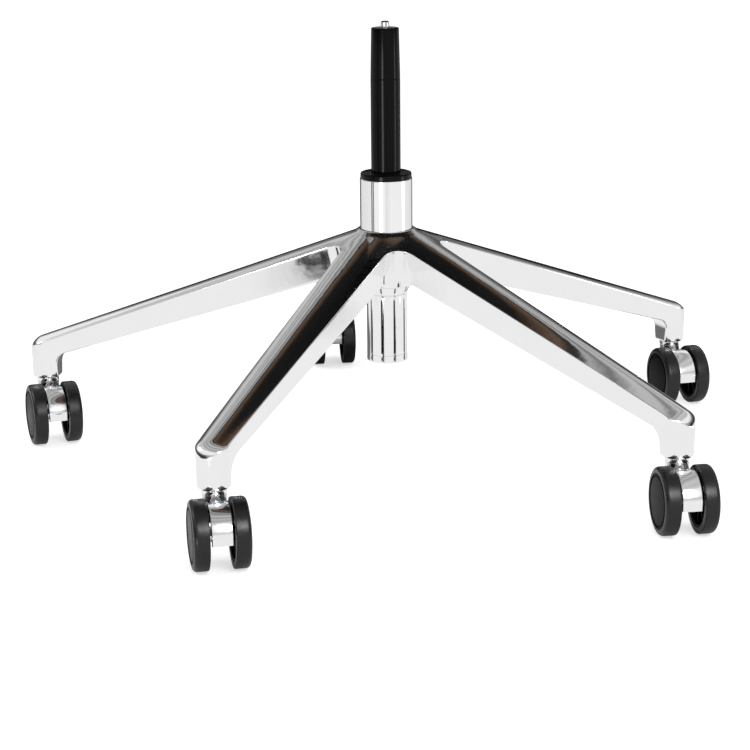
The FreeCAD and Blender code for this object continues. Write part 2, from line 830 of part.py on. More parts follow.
def grip_ring():
    outer = stem_radius + running_gap
    sleeve = ring(outer - grip_wall, outer, grip_low(), grip_low() + grip_height)
    return sleeve.cut(box(0, past, -grip_slot / 2, grip_slot / 2, 0, stem_top()))


def axle():
    half = axle_half_length
    chamfer = 0.5
    body = lathe([(0, -half), (axle_radius - chamfer, -half), (axle_radius, chamfer - half),
                  (axle_radius, half - chamfer), (axle_radius - chamfer, half), (0, half)])
    return on_axle(body, 1)


def on_axle(shape, side):
    """Lay a shape made about Z on the axle, its +Z towards the given side."""
    copy = shape.copy()
    copy.rotate(V(0, 0, 0), V(1, 0, 0), -90.0 * side)
    copy.translate(V(caster_trail, 0, wheel_radius))
    return copy


def wheel_outer_face():
    return wheel_inner_face + wheel_width


def wheel_core(side):
    """Moulded wheel disc with hub, rim and the ring groove on its outer side."""
    bore = axle_radius + running_gap
    face = wheel_outer_face()
    rim = wheel_radius - tyre_thickness
    rim_in = rim - core_rim_thickness
    rim_low = wheel_inner_face + core_rim_inset
    groove_out = core_groove_radius + core_groove_width
    groove_floor = face - core_groove_depth
    disc = face - core_disc_recess
    blind = axle_half_length + axle_end_room
    body = lathe([
        (bore, wheel_inner_face),
        (core_boss_radius, wheel_inner_face),
        (core_boss_radius, core_web_inner),
        (rim_in, core_web_inner),
        (rim_in, rim_low),
        (rim, rim_low),
        (rim, face - tyre_seat),
        (groove_out + core_edge, face),
        (groove_out, face - core_edge),
        (groove_out, groove_floor),
        (core_groove_radius, groove_floor),
        (core_groove_radius, disc - core_edge),
        (core_groove_radius - core_edge, disc),
        (0, disc - core_edge),
        (0, blind),
        (bore, blind),
    ])
    return on_axle(solid_of(body.fuse(core_ribs(rim_in))), side)


def core_ribs(rim_in):
    """Stiffening ribs between boss and rim on the inner side of the wheel disc."""
    lap = 0.5                # the ribs run this far into boss, rim and disc
    low = wheel_inner_face + core_rib_set_back
    half = core_rib_thickness / 2
    rib = box(core_boss_radius - lap, rim_in + lap, -half, half, low, core_web_inner + lap)
    return [turned(rib, k * 360.0 / core_rib_count) for k in range(core_rib_count)]


def tyre(side):
    """Soft tread ring with a rounded inner edge and a sloping outer side."""
    inner = wheel_radius - tyre_thickness
    near = wheel_inner_face
    far = wheel_outer_face()
    bend = tyre_edge_radius
    cut = bend * (1 - math.sqrt(0.5))
    out = wheel_radius
    slope = tyre_slope
    small = tyre_inner_edge
    small_cut = small * (1 - math.sqrt(0.5))
    points = [
        V(inner, 0, near),
        V(out - small, 0, near),
        V(out - small_cut, 0, near + small_cut),
        V(out, 0, near + small),
        V(out, 0, far - slope - bend),
        V(out - cut, 0, far - slope - cut),
        V(out - bend, 0, far - slope),
        V(inner, 0, far - tyre_seat),
    ]
    edges = [
        Part.LineSegment(points[0], points[1]).toShape(),
        Part.Arc(points[1], points[2], points[3]).toShape(),
        Part.LineSegment(points[3], points[4]).toShape(),
        Part.Arc(points[4], points[5], points[6]).toShape(),
        Part.LineSegment(points[6], points[7]).toShape(),
        Part.LineSegment(points[7], points[0]).toShape(),
    ]
    return on_axle(lathe_edges(edges), side)


def place_caster(shape, k):
    """Bring a piece drawn in the caster's own frame to the end of leg k."""
    copy = turned(shape, heading_turn(caster_headings[k]))
    angle = math.radians(k * leg_pitch)
    copy.translate(V(leg_reach * math.sin(angle), -leg_reach * math.cos(angle), 0))
    return copy


def save(name, shape):
    shape.exportStep("parts/" + name + ".step")
    print(name, "solids", len(shape.Solids), "valid", shape.isValid(), "volume", round(shape.Volume, 1))


os.makedirs("parts", exist_ok=True)

column_parts = {
    "star_base": star_base,
    "standpipe": standpipe,
    "guide_bushing": guide_bushing,
    "lift_cylinder": lift_cylinder,
    "rod_gland": rod_gland,
    "piston": piston,
    "piston_rod": piston_rod,
    "bottom_plate": bottom_plate,
    "lower_race": lower_race,
    "bearing_balls": bearing_balls,
    "bearing_cage": bearing_cage,
    "upper_race": upper_race,
    "bumper_ring": bumper_ring,
    "retaining_clip": retaining_clip,
    "release_button": release_button,
}
for name, make in column_parts.items():
    save(name, make())

caster_parts = {
    "body": caster_body(),
    "neck_ring": neck_ring(),
    "stem": caster_stem(),
    "grip_ring": grip_ring(),
    "axle": axle(),
    "left_core": wheel_core(1),
    "left_tyre": tyre(1),
    "right_core": wheel_core(-1),
    "right_tyre": tyre(-1),
}
for k in range(leg_count):
    for piece, shape in caster_parts.items():
        name = "caster_" + str(k + 1) + "_" + piece
        save(name, place_caster(shape, k))
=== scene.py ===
import bpy
import bmesh
import numpy as np
import math
import json
from mathutils import Matrix, Vector


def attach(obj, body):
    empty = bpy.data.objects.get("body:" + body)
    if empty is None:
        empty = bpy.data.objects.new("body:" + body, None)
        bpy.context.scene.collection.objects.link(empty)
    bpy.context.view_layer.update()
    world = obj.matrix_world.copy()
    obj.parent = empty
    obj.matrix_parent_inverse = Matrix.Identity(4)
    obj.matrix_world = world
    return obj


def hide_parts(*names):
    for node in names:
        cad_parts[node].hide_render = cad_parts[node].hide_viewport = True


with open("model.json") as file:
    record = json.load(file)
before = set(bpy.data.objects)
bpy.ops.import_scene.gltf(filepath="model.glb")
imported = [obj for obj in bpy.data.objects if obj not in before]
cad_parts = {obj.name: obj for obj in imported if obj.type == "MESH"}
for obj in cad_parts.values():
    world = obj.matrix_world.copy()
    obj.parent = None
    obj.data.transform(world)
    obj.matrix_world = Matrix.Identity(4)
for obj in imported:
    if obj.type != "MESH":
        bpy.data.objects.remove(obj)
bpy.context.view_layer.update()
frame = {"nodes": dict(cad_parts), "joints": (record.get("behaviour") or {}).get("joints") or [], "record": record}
mm = 0.001
print("frame loaded:", len(frame["nodes"]), "nodes")


# camera at the photograph's angle
cameraSetup = {
    "place": (0.7883, -1.6930, 0.5913),
    "lens": 95.14, "sensor": 36.0, "clipEnd": 50.0,
    "pitch": 15.55,                # degrees below the horizon
    "heading": 25.34,
    "roll": -0.50,
}


def makeCamera(setup):
    data = bpy.data.cameras.new("photoCamera")
    data.lens = setup["lens"]
    data.sensor_width = setup["sensor"]
    data.clip_end = setup["clipEnd"]
    camera = bpy.data.objects.new("photoCamera", data)
    bpy.context.scene.collection.objects.link(camera)
    look = Matrix.Rotation(math.radians(setup["heading"]), 4, "Z")
    look = look @ Matrix.Rotation(math.radians(90.0 - setup["pitch"]), 4, "X")
    look = look @ Matrix.Rotation(math.radians(setup["roll"]), 4, "Z")
    camera.matrix_world = Matrix.Translation(setup["place"]) @ look
    bpy.context.scene.camera = camera


makeCamera(cameraSetup)
print("camera placed")


# mesh helpers: every surface is a grid of points, rows by columns, in millimetres
# quads of a grid whose points are numbered row by row from start
def gridQuads(rows, cols, start):
    i, j = np.meshgrid(np.arange(rows - 1), np.arange(cols - 1), indexing="ij")
    a = start + i * cols + j
    return np.stack([a, a + 1, a + cols + 1, a + cols], axis=-1).reshape(-1, 4)


# one closed mesh from point grids in millimetres whose seams share their points
def meshFromGrids(name, grids, creaseAngle=40.0, mergeAt=2e-6, turn=True):
    points, quads, count = [], [], 0
    for grid in grids:
        rows, cols = grid.shape[:2]
        points.append(grid.reshape(-1, 3))
        quads.append(gridQuads(rows, cols, count))
        count += rows * cols
    points = np.concatenate(points) * mm
    quads = np.concatenate(quads)
    mesh = bpy.data.meshes.new(name)
    mesh.vertices.add(len(points))
    mesh.vertices.foreach_set("co", points.astype(np.float32).ravel())
    mesh.loops.add(quads.size)
    mesh.loops.foreach_set("vertex_index", quads.astype(np.int32).ravel())
    mesh.polygons.add(len(quads))
    mesh.polygons.foreach_set("loop_start", np.arange(0, quads.size, 4, dtype=np.int32))
    mesh.update(calc_edges=True)
    cleaned = bmesh.new()
    cleaned.from_mesh(mesh)
    bmesh.ops.remove_doubles(cleaned, verts=cleaned.verts, dist=mergeAt)
    bmesh.ops.dissolve_degenerate(cleaned, dist=mergeAt, edges=cleaned.edges)
    if turn:
        bmesh.ops.recalc_face_normals(cleaned, faces=cleaned.faces)
    openEdges = sum(1 for e in cleaned.edges if len(e.link_faces) != 2)
    cleaned.to_mesh(mesh)
    cleaned.free()
    mesh.shade_smooth()
    mesh.set_sharp_from_angle(angle=math.radians(creaseAngle))
    piece = bpy.data.objects.new(name, mesh)
    bpy.context.scene.collection.objects.link(piece)
    print(name, "faces", len(mesh.polygons), "open edges", openEdges)
    return piece


# the same grid turned about the column axis
def turnedZ(grid, degrees):
    a = math.radians(degrees)
    x, y = grid[..., 0], grid[..., 1]
    return stacked(x * math.cos(a) - y * math.sin(a), x * math.sin(a) + y * math.cos(a), grid[..., 2])


# coordinates side by side, where single numbers are repeated as needed
def stacked(*parts):
    return np.stack(np.broadcast_arrays(*parts), -1)


# lists of points or values after one another
def joined(*parts):
    return np.concatenate(parts)


def clamp(value):
    return np.clip(value, 0.0, 1.0)


# points at radius r and angle a round the column axis, at height z
def polar(r, a, z):
    return stacked(r * np.cos(a), r * np.sin(a), z)


up = np.array([0.0, 0.0, 1.0])


# grid laid from a place along three directions
def laid(grid, place, *directions):
    return place + grid @ np.array(directions)


mirror = np.array([1.0, -1.0, 1.0])                # from one side of a leg to the other


# rounded edge: quadratic curve from a to c that bends round the corner b, also for rows of points
def bezier(a, b, c, steps):
    t = np.linspace(0.0, 1.0, steps + 1).reshape(-1, *[1] * a.ndim)
    return (1 - t) ** 2 * a + 2 * t * (1 - t) * b + t * t * c


# values from -1 to 1 that lie closer together towards both ends
def denseEnds(count, power=1.6):
    t = np.linspace(-1.0, 1.0, count)
    return np.sign(t) * (1 - (1 - np.abs(t)) ** power)


# star casting
star = {
    "legs": 5, "reach": 342.0,
    "edgeHub": 222.2, "edgeTip": 100.1,        # height of the upper wall edge at column and swivel axis
    "keelHub": 187.4, "keelTip": 82.1,         # height of the lower wall edge
    "halfHub": 24.6, "halfTip": 14.7,          # half width at the upper edge
    "crownHub": 4.2, "crownTip": 5.1,          # rise of the rounded top
    "lean": 0.145, "webRadius": 17.0, "webMeets": 62.0, "webBow": 0.8,
    "noseRadius": 17.0, "noseStand": 0.3,
    "socketTop": 14.9, "socketLow": 14.4, "socketBottom": 62.5, "socketRound": 2.6,
    "fillet": 14.0, "footInset": 1.5, "flankTop": 30.0, "bore": 5.55, "boreDepth": 34.0, "boreChamfer": 0.6,
    "barrel": 30.0, "hubBottom": 165.0, "lipTop": 218.3,
    "seatTop": 25.0, "seatLow": 23.0,
    "wall": 4.0, "skin": 5.0, "skinRise": 0.3, "rib": 3.0, "ribs": (95.0, 160.0, 225.0), "ribRelief": 7.0,
    "edgeRound": 0.9, "keelRound": 0.9, "backRound": 2.6,
    "rimFoot": 31.5, "rimFlat": 1.0,           # radius at which the hub starts to rise to its lip
    "valleyBlend": 17.0, "valleyShare": 0.55,  # width of the valley between two crowns, and its limit
    "bootBlend": 3.0, "bootFade": 12.0,
    "firstS": 45.0, "firstZ": 175.0,           # where the search for the webs' edges starts
}


# larger of two fields, with a rounded change-over of the given width
def smoothMax(a, b, width):
    h = np.clip(width - np.abs(a - b), 0.0, None) / np.maximum(width, 1e-9)
    return np.maximum(a, b) + h * h * width * 0.25


# square root that is 0 below 0
def root(value):
    return np.sqrt(np.clip(value, 0.0, None))


# heights and outlines of one leg as functions of s, along the leg, and y, across it
class StarShape:

    def __init__(self, d):
        self.d = d
        halfPitch = math.pi / d["legs"]
        self.halfPitch, self.c, self.sn = halfPitch, math.cos(halfPitch), math.sin(halfPitch)
        self.slope = math.atan2(self.ridge(0.0) - self.ridge(d["reach"]), d["reach"])
        self.keelFall = math.atan2(d["keelHub"] - d["keelTip"], d["reach"])
        r0, r1 = self.roundOf(0.0), self.roundOf(d["reach"])
        self.apex = d["reach"] * r0 / (r0 - r1)
        self.spread = r0 / self.apex                 # radius of the crown's cone for each mm from its apex
        self.foot = d["reach"] - d["socketLow"] + d["footInset"]
        self.turn = math.pi / 2 - self.keelFall
        flankReach = d["fillet"] * math.tan(self.turn / 2)
        self.flankStart = self.foot - flankReach * math.cos(self.keelFall)
        self.flankLow = self.keel(self.foot) - flankReach
        self.noseAxis = d["reach"] + d["socketTop"] + d["noseStand"] - d["noseRadius"]
        self.noseFrom = self.noseAxis + d["noseRadius"] * math.sin(self.slope)
        self.noseHeight = self.ridge(self.noseFrom) - d["noseRadius"] * math.cos(self.slope)
        self.endWall = self.foot - flankReach - d["wall"]
        edge = self.edge(0.0)
        self.wallTurn = math.atan2(self.wallY(d["reach"], edge) - self.wallY(0.0, edge), d["reach"])
        self.webHalf = math.pi / 2 - halfPitch + self.wallTurn

    def along(self, hub, tip, s):
        return self.d[hub] + (self.d[tip] - self.d[hub]) * s / self.d["reach"]

    def edge(self, s):
        return self.along("edgeHub", "edgeTip", s)

    def keel(self, s):
        return self.along("keelHub", "keelTip", s)

    def half(self, s):
        return self.along("halfHub", "halfTip", s)

    def ridge(self, s):
        return self.edge(s) + self.along("crownHub", "crownTip", s)

    # radius of the crown across the leg
    def roundOf(self, s):
        rise = self.along("crownHub", "crownTip", s) * math.cos(self.slope)
        return (self.half(s) ** 2 + rise ** 2) / (2 * rise)

    def wallY(self, s, z):
        return self.half(s) + self.d["lean"] * (z - self.edge(s))

    def socketRadius(self, z):
        d = self.d
        lean = (d["socketTop"] - d["socketLow"]) / (d["edgeTip"] - d["socketBottom"])
        return d["socketLow"] + lean * (z - d["socketBottom"])

    # outer half width at s and z: the leaning wall, blended into the round socket near the tip
    def sideY(self, s, z):
        wall, r = self.wallY(s, z), self.socketRadius(z)
        behind = self.d["reach"] - s
        blend = self.d["bootBlend"] * clamp(behind / self.d["bootFade"])
        return np.where(behind < r, smoothMax(wall, root(r * r - behind * behind), blend), wall)

    # crowned top of one leg: a cone whose ridge runs down the leg, bent down at the tip
    def ownRoof(self, s, y):
        r = (self.apex - s) * self.spread
        straight = self.ridge(s) - (r - root(r * r - y * y)) / math.cos(self.slope)
        rN = (self.apex - self.noseFrom) * self.spread
        arm = self.d["noseRadius"] - rN + root(rN * rN - y * y)
        offset = np.clip(s - self.noseAxis, 0.0, None)
        bent = self.noseHeight + root(arm * arm - offset * offset)
        return np.where(s > self.noseAxis + arm * math.sin(self.slope), bent, straight)

    # top of the casting: the leg's crown, and a valley of even width in which its slope across the
    # line to the neighbouring leg fades to nothing, so that the two crowns run into each other
    def roof(self, s, y):
        c, sn = self.c, self.sn
        y = np.abs(y)
        out = s * c + y * sn                         # along the middle line between two legs
        inside = s * sn - y * c                      # from that line
        step = 0.01                                  # in mm, to take the slope over
        slope = (self.ownRoof(out * c - step * sn, out * sn + step * c)
                 - self.ownRoof(out * c + step * sn, out * sn - step * c)) / (2 * step)
        width = np.minimum(self.d["valleyBlend"], self.d["valleyShare"] * out)
        share = clamp(1.0 - inside / width)
        return self.ownRoof(s, y) - slope * width * 0.5 * share * share

    # point of the web wall at height z: share 0 on the bisector, 1 where the arc meets the leg's wall
    def webPoint(self, share, z, inset):
        radius, c, sn = self.d["webRadius"], self.c, self.sn
        centre = (self.wallY(0.0, z) + radius / math.cos(self.wallTurn)) / (sn - math.tan(self.wallTurn) * c)
        angle = self.webHalf * share
        px = centre - (radius + inset) * np.cos(angle)      # along the bisector
        py = (radius + inset) * np.sin(angle)               # from the bisector towards the leg
        return px * c + py * sn, px * sn - py * c

    # underside of the hub: the leg's keel height, and beside it the plane through both legs' keels
    def lowerPlane(self, s, y):
        y = np.abs(y)
        ends = [(self.keel(at), at * self.c + self.wallY(at, self.keel(at)) * self.sn)
                for at in (0.0, self.d["reach"])]
        fall = (ends[0][0] - ends[1][0]) / (ends[1][1] - ends[0][1])
        plane = ends[0][0] - fall * (s * self.c + y * self.sn - ends[0][1])
        return np.where(y > self.wallY(s, self.keel(s)), plane, self.keel(s))


# points of a circular arc through (s, -y), (mid, 0), (s, y), for v from -1 to 1
def arcRow(s, mid, y, v):
    bow = max(mid - s, 1e-7 * y)
    r = (y * y + bow * bow) / (2 * bow)
    half = math.atan2(y, s - (mid - r))
    return mid - r + r * np.cos(half * v), r * np.sin(half * v)


# row k of the points between the arcs of two webs along an edge, bowed less and less down the leg
def webRow(edge, k, last, bow, v):
    saddle = math.hypot(edge[0, 0], edge[0, 1])
    mid = saddle + (edge[last, 0] - saddle) * (k / last) ** bow
    return arcRow(edge[k, 0], max(mid, edge[k, 0]), edge[k, 1], v)


# points at x and y at the height that a field has there
def lifted(x, y, field):
    return stacked(x, y, field(x, y))


# points where a wall meets a height field: place(z) gives the wall at the height z, which starts as given
def settle(place, z, field):
    for _ in range(6):
        z = field(*place(z))
    return stacked(*place(z), z)


# half loop from the web round to the nose, and its mirror image back
def bothSides(half):
    return np.concatenate([half, half[..., ::-1, :][..., 1:, :] * mirror], axis=-2)


# closed skin of one leg and its fifth of the hub, as point grids with the leg along +X
def starSector(d):
    f = StarShape(d)
    d1, d2, d3, reach = d["edgeRound"], d["keelRound"], d["backRound"], d["reach"]
    nWeb, nAcross = 15, 33                            # points along a web's half arc, and across the leg
    vTop = denseEnds(nAcross)
    angle = f.halfPitch * vTop
    u = np.linspace(-1.0, 1.0, nAcross - 2)

    # places along the lower edge: keel, flank arc, then level round the socket
    webShare = np.linspace(0.0, 1.0, nWeb)
    startLow = d["webMeets"]
    for _ in range(5):
        startLow = f.webPoint(1.0, f.keel(startLow), 0.0)[0]
    ribEdges = np.add.outer(d["ribs"], (-d["rib"] / 2, d["rib"] / 2)).ravel()
    keelS = np.unique(joined(np.linspace(startLow, f.endWall, 58), ribEdges))
    nChannel = len(keelS)
    keelS = joined(keelS, np.linspace(f.endWall, f.flankStart, 4)[1:])
    left = f.turn - np.linspace(0.0, f.turn, 12)[1:]      # turn of the flank that is still to come
    levelS = np.linspace(f.foot + d3, reach, 9)[1:]
    theta = np.linspace(math.pi / 2, 0.0, 25)[1:]

    # one value for each place of the lower edge, then for each column of the half loop
    def lowRow(keel, flank, level):
        return joined(keel + 0 * keelS, flank + 0 * left, level + 0 * levelS)

    def halfRow(web, low, nose):
        return joined(web + 0 * webShare, low[1:], nose + 0 * theta)

    lowS = lowRow(keelS, f.foot - d["fillet"] * (1 - np.cos(left)), levelS)
    lowZ = lowRow(f.keel(keelS), f.flankLow + d["fillet"] * np.sin(left), f.flankLow)
    inS = lowRow(math.sin(f.keelFall), np.cos(left), 0.0)
    inZ = lowRow(math.cos(f.keelFall), np.sin(left), 0.0)
    size = lowRow(d2, d2 + (d3 - d2) * (1 - left / f.turn), 0.0)

    # the same columns at the upper edge
    startTop = f.webPoint(1.0, f.edge(d["webMeets"]), 0.0)[0]
    flankTop = reach - d["flankTop"]
    topS = startTop + (keelS - startLow) * (flankTop - startTop) / (f.flankStart - startLow)
    topS = joined(topS[1:], np.linspace(flankTop, reach, len(left) + len(levelS) + 1)[1:])
    nWall = nWeb + len(topS)

    # upper edge of the half loop, set in from the walls
    def halfLoop(inset):
        def wall(z):
            ws, wy = f.webPoint(webShare, z[:nWeb], inset)
            return joined(ws, topS), joined(wy, f.sideY(topS, z[nWeb:]) - inset)

        def nose(z):
            r = f.socketRadius(z) - inset
            return reach + r * np.cos(theta), r * np.sin(theta)

        start = f.edge(joined(d["firstS"] + 0 * webShare, topS))
        return joined(settle(wall, start, f.roof), settle(nose, f.edge(reach) + 0 * theta, f.roof))

    # wall points for the half loop at heights z; s is used where the wall is straight
    def wallAt(z, s):
        ws, wy = f.webPoint(webShare, z[:nWeb], 0.0)
        r = f.socketRadius(z[nWall:])
        x = joined(ws, s[nWeb:nWall], reach + r * np.cos(theta))
        y = joined(wy, f.sideY(s[nWeb:nWall], z[nWeb:nWall]), r * np.sin(theta))
        return stacked(x, y, z)

    topIn, topCorner = halfLoop(d1), halfLoop(0.0)
    topWall = wallAt(topCorner[:, 2] - d1, topCorner[:, 0])

    # lower ends of the columns
    webLow = settle(lambda z: f.webPoint(webShare, z, 0.0), d["firstZ"] + 0 * webShare, f.lowerPlane)
    cornerS, cornerZ = halfRow(webLow[:, 0], lowS, reach), halfRow(webLow[:, 2], lowZ, f.flankLow)
    bevel = halfRow(d2, size, 0.0)
    lowWallS, lowWallZ = cornerS + halfRow(0.0, inS, 0.0) * bevel, cornerZ + halfRow(1.0, inZ, 0.0) * bevel
    lowWall, lowCorner = wallAt(lowWallZ, lowWallS), wallAt(cornerZ, cornerS)
    nEdge = nWall - len(levelS)                       # columns that end in the rounded lower edge
    lowIn = lowCorner.copy()
    lowIn[:nWeb, 0], lowIn[:nWeb, 1] = f.webPoint(webShare, webLow[:, 2], d2)
    lowIn[nWeb:nEdge, 1] -= bevel[nWeb:nEdge]
    side = [wallAt(topWall[:, 2] * (1 - t) + lowWallZ * t, topWall[:, 0] * (1 - t) + lowWallS * t)
            for t in np.linspace(0.0, 1.0, 15)]
    lowRound = bezier(lowWall[:nEdge], lowCorner[:nEdge], lowIn[:nEdge], 4)
    grids = [bothSides(bezier(topIn, topCorner, topWall, 5)), bothSides(np.stack(side)),
             lowRound, lowRound * mirror]

    # top: hub block in arcs, then straight rows down the leg, then a fan over the nose
    saddle = math.hypot(topIn[0, 0], topIn[0, 1])
    radii = joined(np.linspace(d["seatTop"], d["rimFoot"], 9), np.linspace(d["rimFoot"], saddle, 9)[1:])
    plan = [(r * np.cos(angle), r * np.sin(angle)) for r in radii]
    plan += [webRow(topIn, k, nWeb - 1, d["webBow"], vTop) for k in range(1, nWeb)]
    plan += [(s + 0 * vTop, y * vTop) for s, y in topIn[nWeb:nWall, :2]]
    x, y = np.stack(plan, 1)
    rim = (d["rimFoot"] - np.hypot(x, y)) / (d["rimFoot"] - d["seatTop"] - d["rimFlat"])
    rim = clamp(rim)
    rim = rim * rim * (3 - 2 * rim)
    grids.append(stacked(x, y, f.roof(x, y) * (1 - rim) + d["lipTop"] * rim))
    outward = vTop[nAcross // 2:, None]
    tip = bothSides(topIn)[nWall - 1:1 - nWall]
    grids.append(lifted(reach + outward * (tip[:, 0] - reach), outward * tip[:, 1], f.roof))

    # underside of the leg: channel with cross ribs, level by level, and the flanges beside it
    def innerY(s, z):
        return f.wallY(s, z) - d["wall"]

    # levels are 0 at the keel, 1 at the foot of the ribs and 2 under the top skin
    def channelRow(s, level):
        roof = f.edge(s) + d["skinRise"] * (f.ridge(s) - f.edge(s)) - d["skin"]
        heights = (f.keel(s), f.keel(s) + d["ribRelief"], roof)
        z = np.array([heights[min(k, level)] for k in range(3)])
        y = innerY(s, z)
        across = joined(-y[:2], u * y[2], y[1::-1])
        return stacked(s, across, z[[0, 1] + [2] * len(u) + [1, 0]])

    channelS = keelS[:nChannel]
    channel = []
    for k, s in enumerate(channelS):
        levels = (2,)
        if np.isclose(ribEdges[0::2], s).any():
            levels = (2, 1)
        elif np.isclose(ribEdges[1::2], s).any():
            levels = (1, 2)
        elif k in (0, nChannel - 1):
            levels = (2, 1, 0) if k else (0, 1, 2)
        channel += [channelRow(s, level) for level in levels]
    flangeIn = lifted(channelS, innerY(channelS, f.keel(channelS)), lambda s, y: f.keel(s))
    flange = np.stack([lowIn[nWeb - 1:nWeb - 1 + nChannel], flangeIn])
    grids += [np.stack(channel), flange, flange * mirror]

    # flank: full width from the end of the channel down to the level of the socket
    edge = lowIn[nWeb + nChannel - 2:nEdge, None]
    fractions = joined([-1.0], u * flangeIn[-1, 1] / edge[0, 0, 1], [1.0])
    grids.append(stacked(edge[..., 0], edge[..., 1] * fractions, edge[..., 2]))

    # lower socket: closed loops from the level of the flank down, rounded below, with the stem's bore
    def socketLoop(z):
        s, r = joined([f.foot + d3], levelS), f.socketRadius(z)
        x = joined(s, reach + r * np.cos(theta))
        half = stacked(x, joined(f.sideY(s, z), r * np.sin(theta)), z)
        wall = float(f.sideY(f.foot, z))
        corner = bezier(half[0], np.array([f.foot, wall, z]), np.array([f.foot, wall - d3, z]), 4)
        back = stacked(f.foot, fractions * (wall - d3), z)
        return joined(bothSides(half), (corner * mirror)[1:], back[1:], corner[::-1][1:])

    low = d["socketBottom"]
    tube = [socketLoop(z) for z in np.linspace(f.flankLow, low + d["socketRound"], 6)]
    axis = np.array([reach, 0.0])
    out = tube[-1][:, :2] - axis
    length = np.linalg.norm(out, axis=-1, keepdims=True)

    def loopAt(radius, z):
        return np.concatenate([axis + out / length * radius, z + 0 * length], -1)

    tube += list(bezier(tube[-1], loopAt(length, low), loopAt(length - d["socketRound"], low), 5)[1:])
    deep = low + d["boreDepth"]
    tube += [loopAt(d["bore"] + d["boreChamfer"], low), loopAt(d["bore"], low + d["boreChamfer"]),
             loopAt(d["bore"], deep), loopAt(0.0, deep)]
    grids.append(np.stack(tube))

    # hub: tapered seat, lower ring and barrel, then its underside out to the webs
    barrel, low = d["barrel"], d["hubBottom"]
    corner = bezier(np.array([barrel - d2, low]), np.array([barrel, low]), np.array([barrel, low + d2]), 4)
    turns = [polar(r, angle, z) for r, z in [(d["seatTop"], d["lipTop"]), (d["seatLow"], low), *corner]]
    turns.append(lifted(barrel * np.cos(angle), barrel * np.sin(angle), f.lowerPlane))
    grids.append(np.stack(turns))
    radii = np.linspace(barrel, math.hypot(lowIn[0, 0], lowIn[0, 1]), 5)
    under, nRings = [turns[-1]], len(radii) - 1
    nRows = nRings + nWeb - 1
    for k in range(1, nRows):
        v = vTop + (fractions - vTop) * k / nRows         # from the hub's spacing to the channel's
        if k <= nRings:
            x, y = radii[k] * np.cos(f.halfPitch * v), radii[k] * np.sin(f.halfPitch * v)
        else:
            x, y = webRow(lowIn, k - nRings, nWeb - 1, d["webBow"], v)
        row = lifted(x, y, f.lowerPlane)
        if k >= nRings:
            row[0], row[-1] = lowIn[k - nRings] * mirror, lowIn[k - nRings]
        under.append(row)
    end = lowIn[nWeb - 1]
    under.append(joined([end * mirror], channelRow(channelS[0], 0)[2:-2], [end]))
    grids.append(np.stack(under))
    return grids


def starCasting(d):
    sector = starSector(d)
    grids = [turnedZ(g, k * 360.0 / d["legs"] - 90.0) for k in range(d["legs"]) for g in sector]
    piece = meshFromGrids("starCasting", grids)
    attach(piece, "base")
    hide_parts("star_base")
    return piece


casting = starCasting(star)
print("star casting done")


# turned pieces
# grid of a profile of (radius, height) points turned about the Z axis
def turnedGrid(profile, turns=128):
    profile = np.asarray(profile, float)
    a = np.linspace(0.0, 2 * math.pi, turns + 1)
    return polar(profile[:, :1], a, profile[:, 1:])


# profile with each corner (r, z, rounding) replaced by a curve that cuts it off by the rounding
def roundedProfile(corners, steps=5, closed=False):
    corners = np.asarray(corners, float)
    points, count = [], len(corners)
    for i in range(count):
        here, cut = corners[i, :2], corners[i, 2]
        if cut <= 0 or (not closed and i in (0, count - 1)):
            points.append(here[None])
            continue
        back = corners[i - 1, :2] - here
        ahead = corners[(i + 1) % count, :2] - here
        points.append(bezier(here + back / np.linalg.norm(back) * cut, here,
                             here + ahead / np.linalg.norm(ahead) * cut, steps))
    points = np.concatenate(points)
    return joined(points, points[:1]) if closed else points


# standpipe: outer tube of the gas lift, fluted below the hub
pipe = {
    "radius": 25.0, "top": 266.8, "hubRadius": 23.0, "hubTop": 218.3, "hubBottom": 165.0,
    "lowRadius": 19.5, "flareLow": 156.0, "bottom": 88.2, "wall": 2.4, "play": 0.6, "bushingSeat": 72.0,
    "flutes": 10, "fluteFirst": 28.0, "fluteWidth": 1.15, "fluteDepth": 0.9,
    "fluteLow": 97.0, "fluteTop": 152.0, "fluteSpread": 1.8, "fluteFade": (1.0, 3.0),
    "fluteRun": (1.6, 6.0), "fluteEnd": 1.5,
    # painted shade: the flute attribute darkens the tube in its flutes, in marks past their ends and in lines
    # round it
    "fluteMarks": ((90.6, 94.6), (157.2, 163.2)), "markTone": 0.9, "markFade": 0.8,
    "ringLines": ((95.6, 0.7, 0.22), (155.2, 0.9, 0.22), (164.2, 1.2, 0.95)),     # height, width, tone of painted dark lines: two steps of the tube, and a painted shadow under the barrel's edge
    "shadeStep": 0.7,                          # distance between the points that carry the shade
    "lipHole": 9.5, "lip": 2.8,
}


# distance from the middle of the nearest flute, along the round of radius r
def fluteAway(x, y, r, d):
    pitch = 360.0 / d["flutes"]
    angle = np.degrees(np.arctan2(y, x)) - d["fluteFirst"]
    return np.radians(np.abs((angle + pitch / 2) % pitch - pitch / 2)) * r
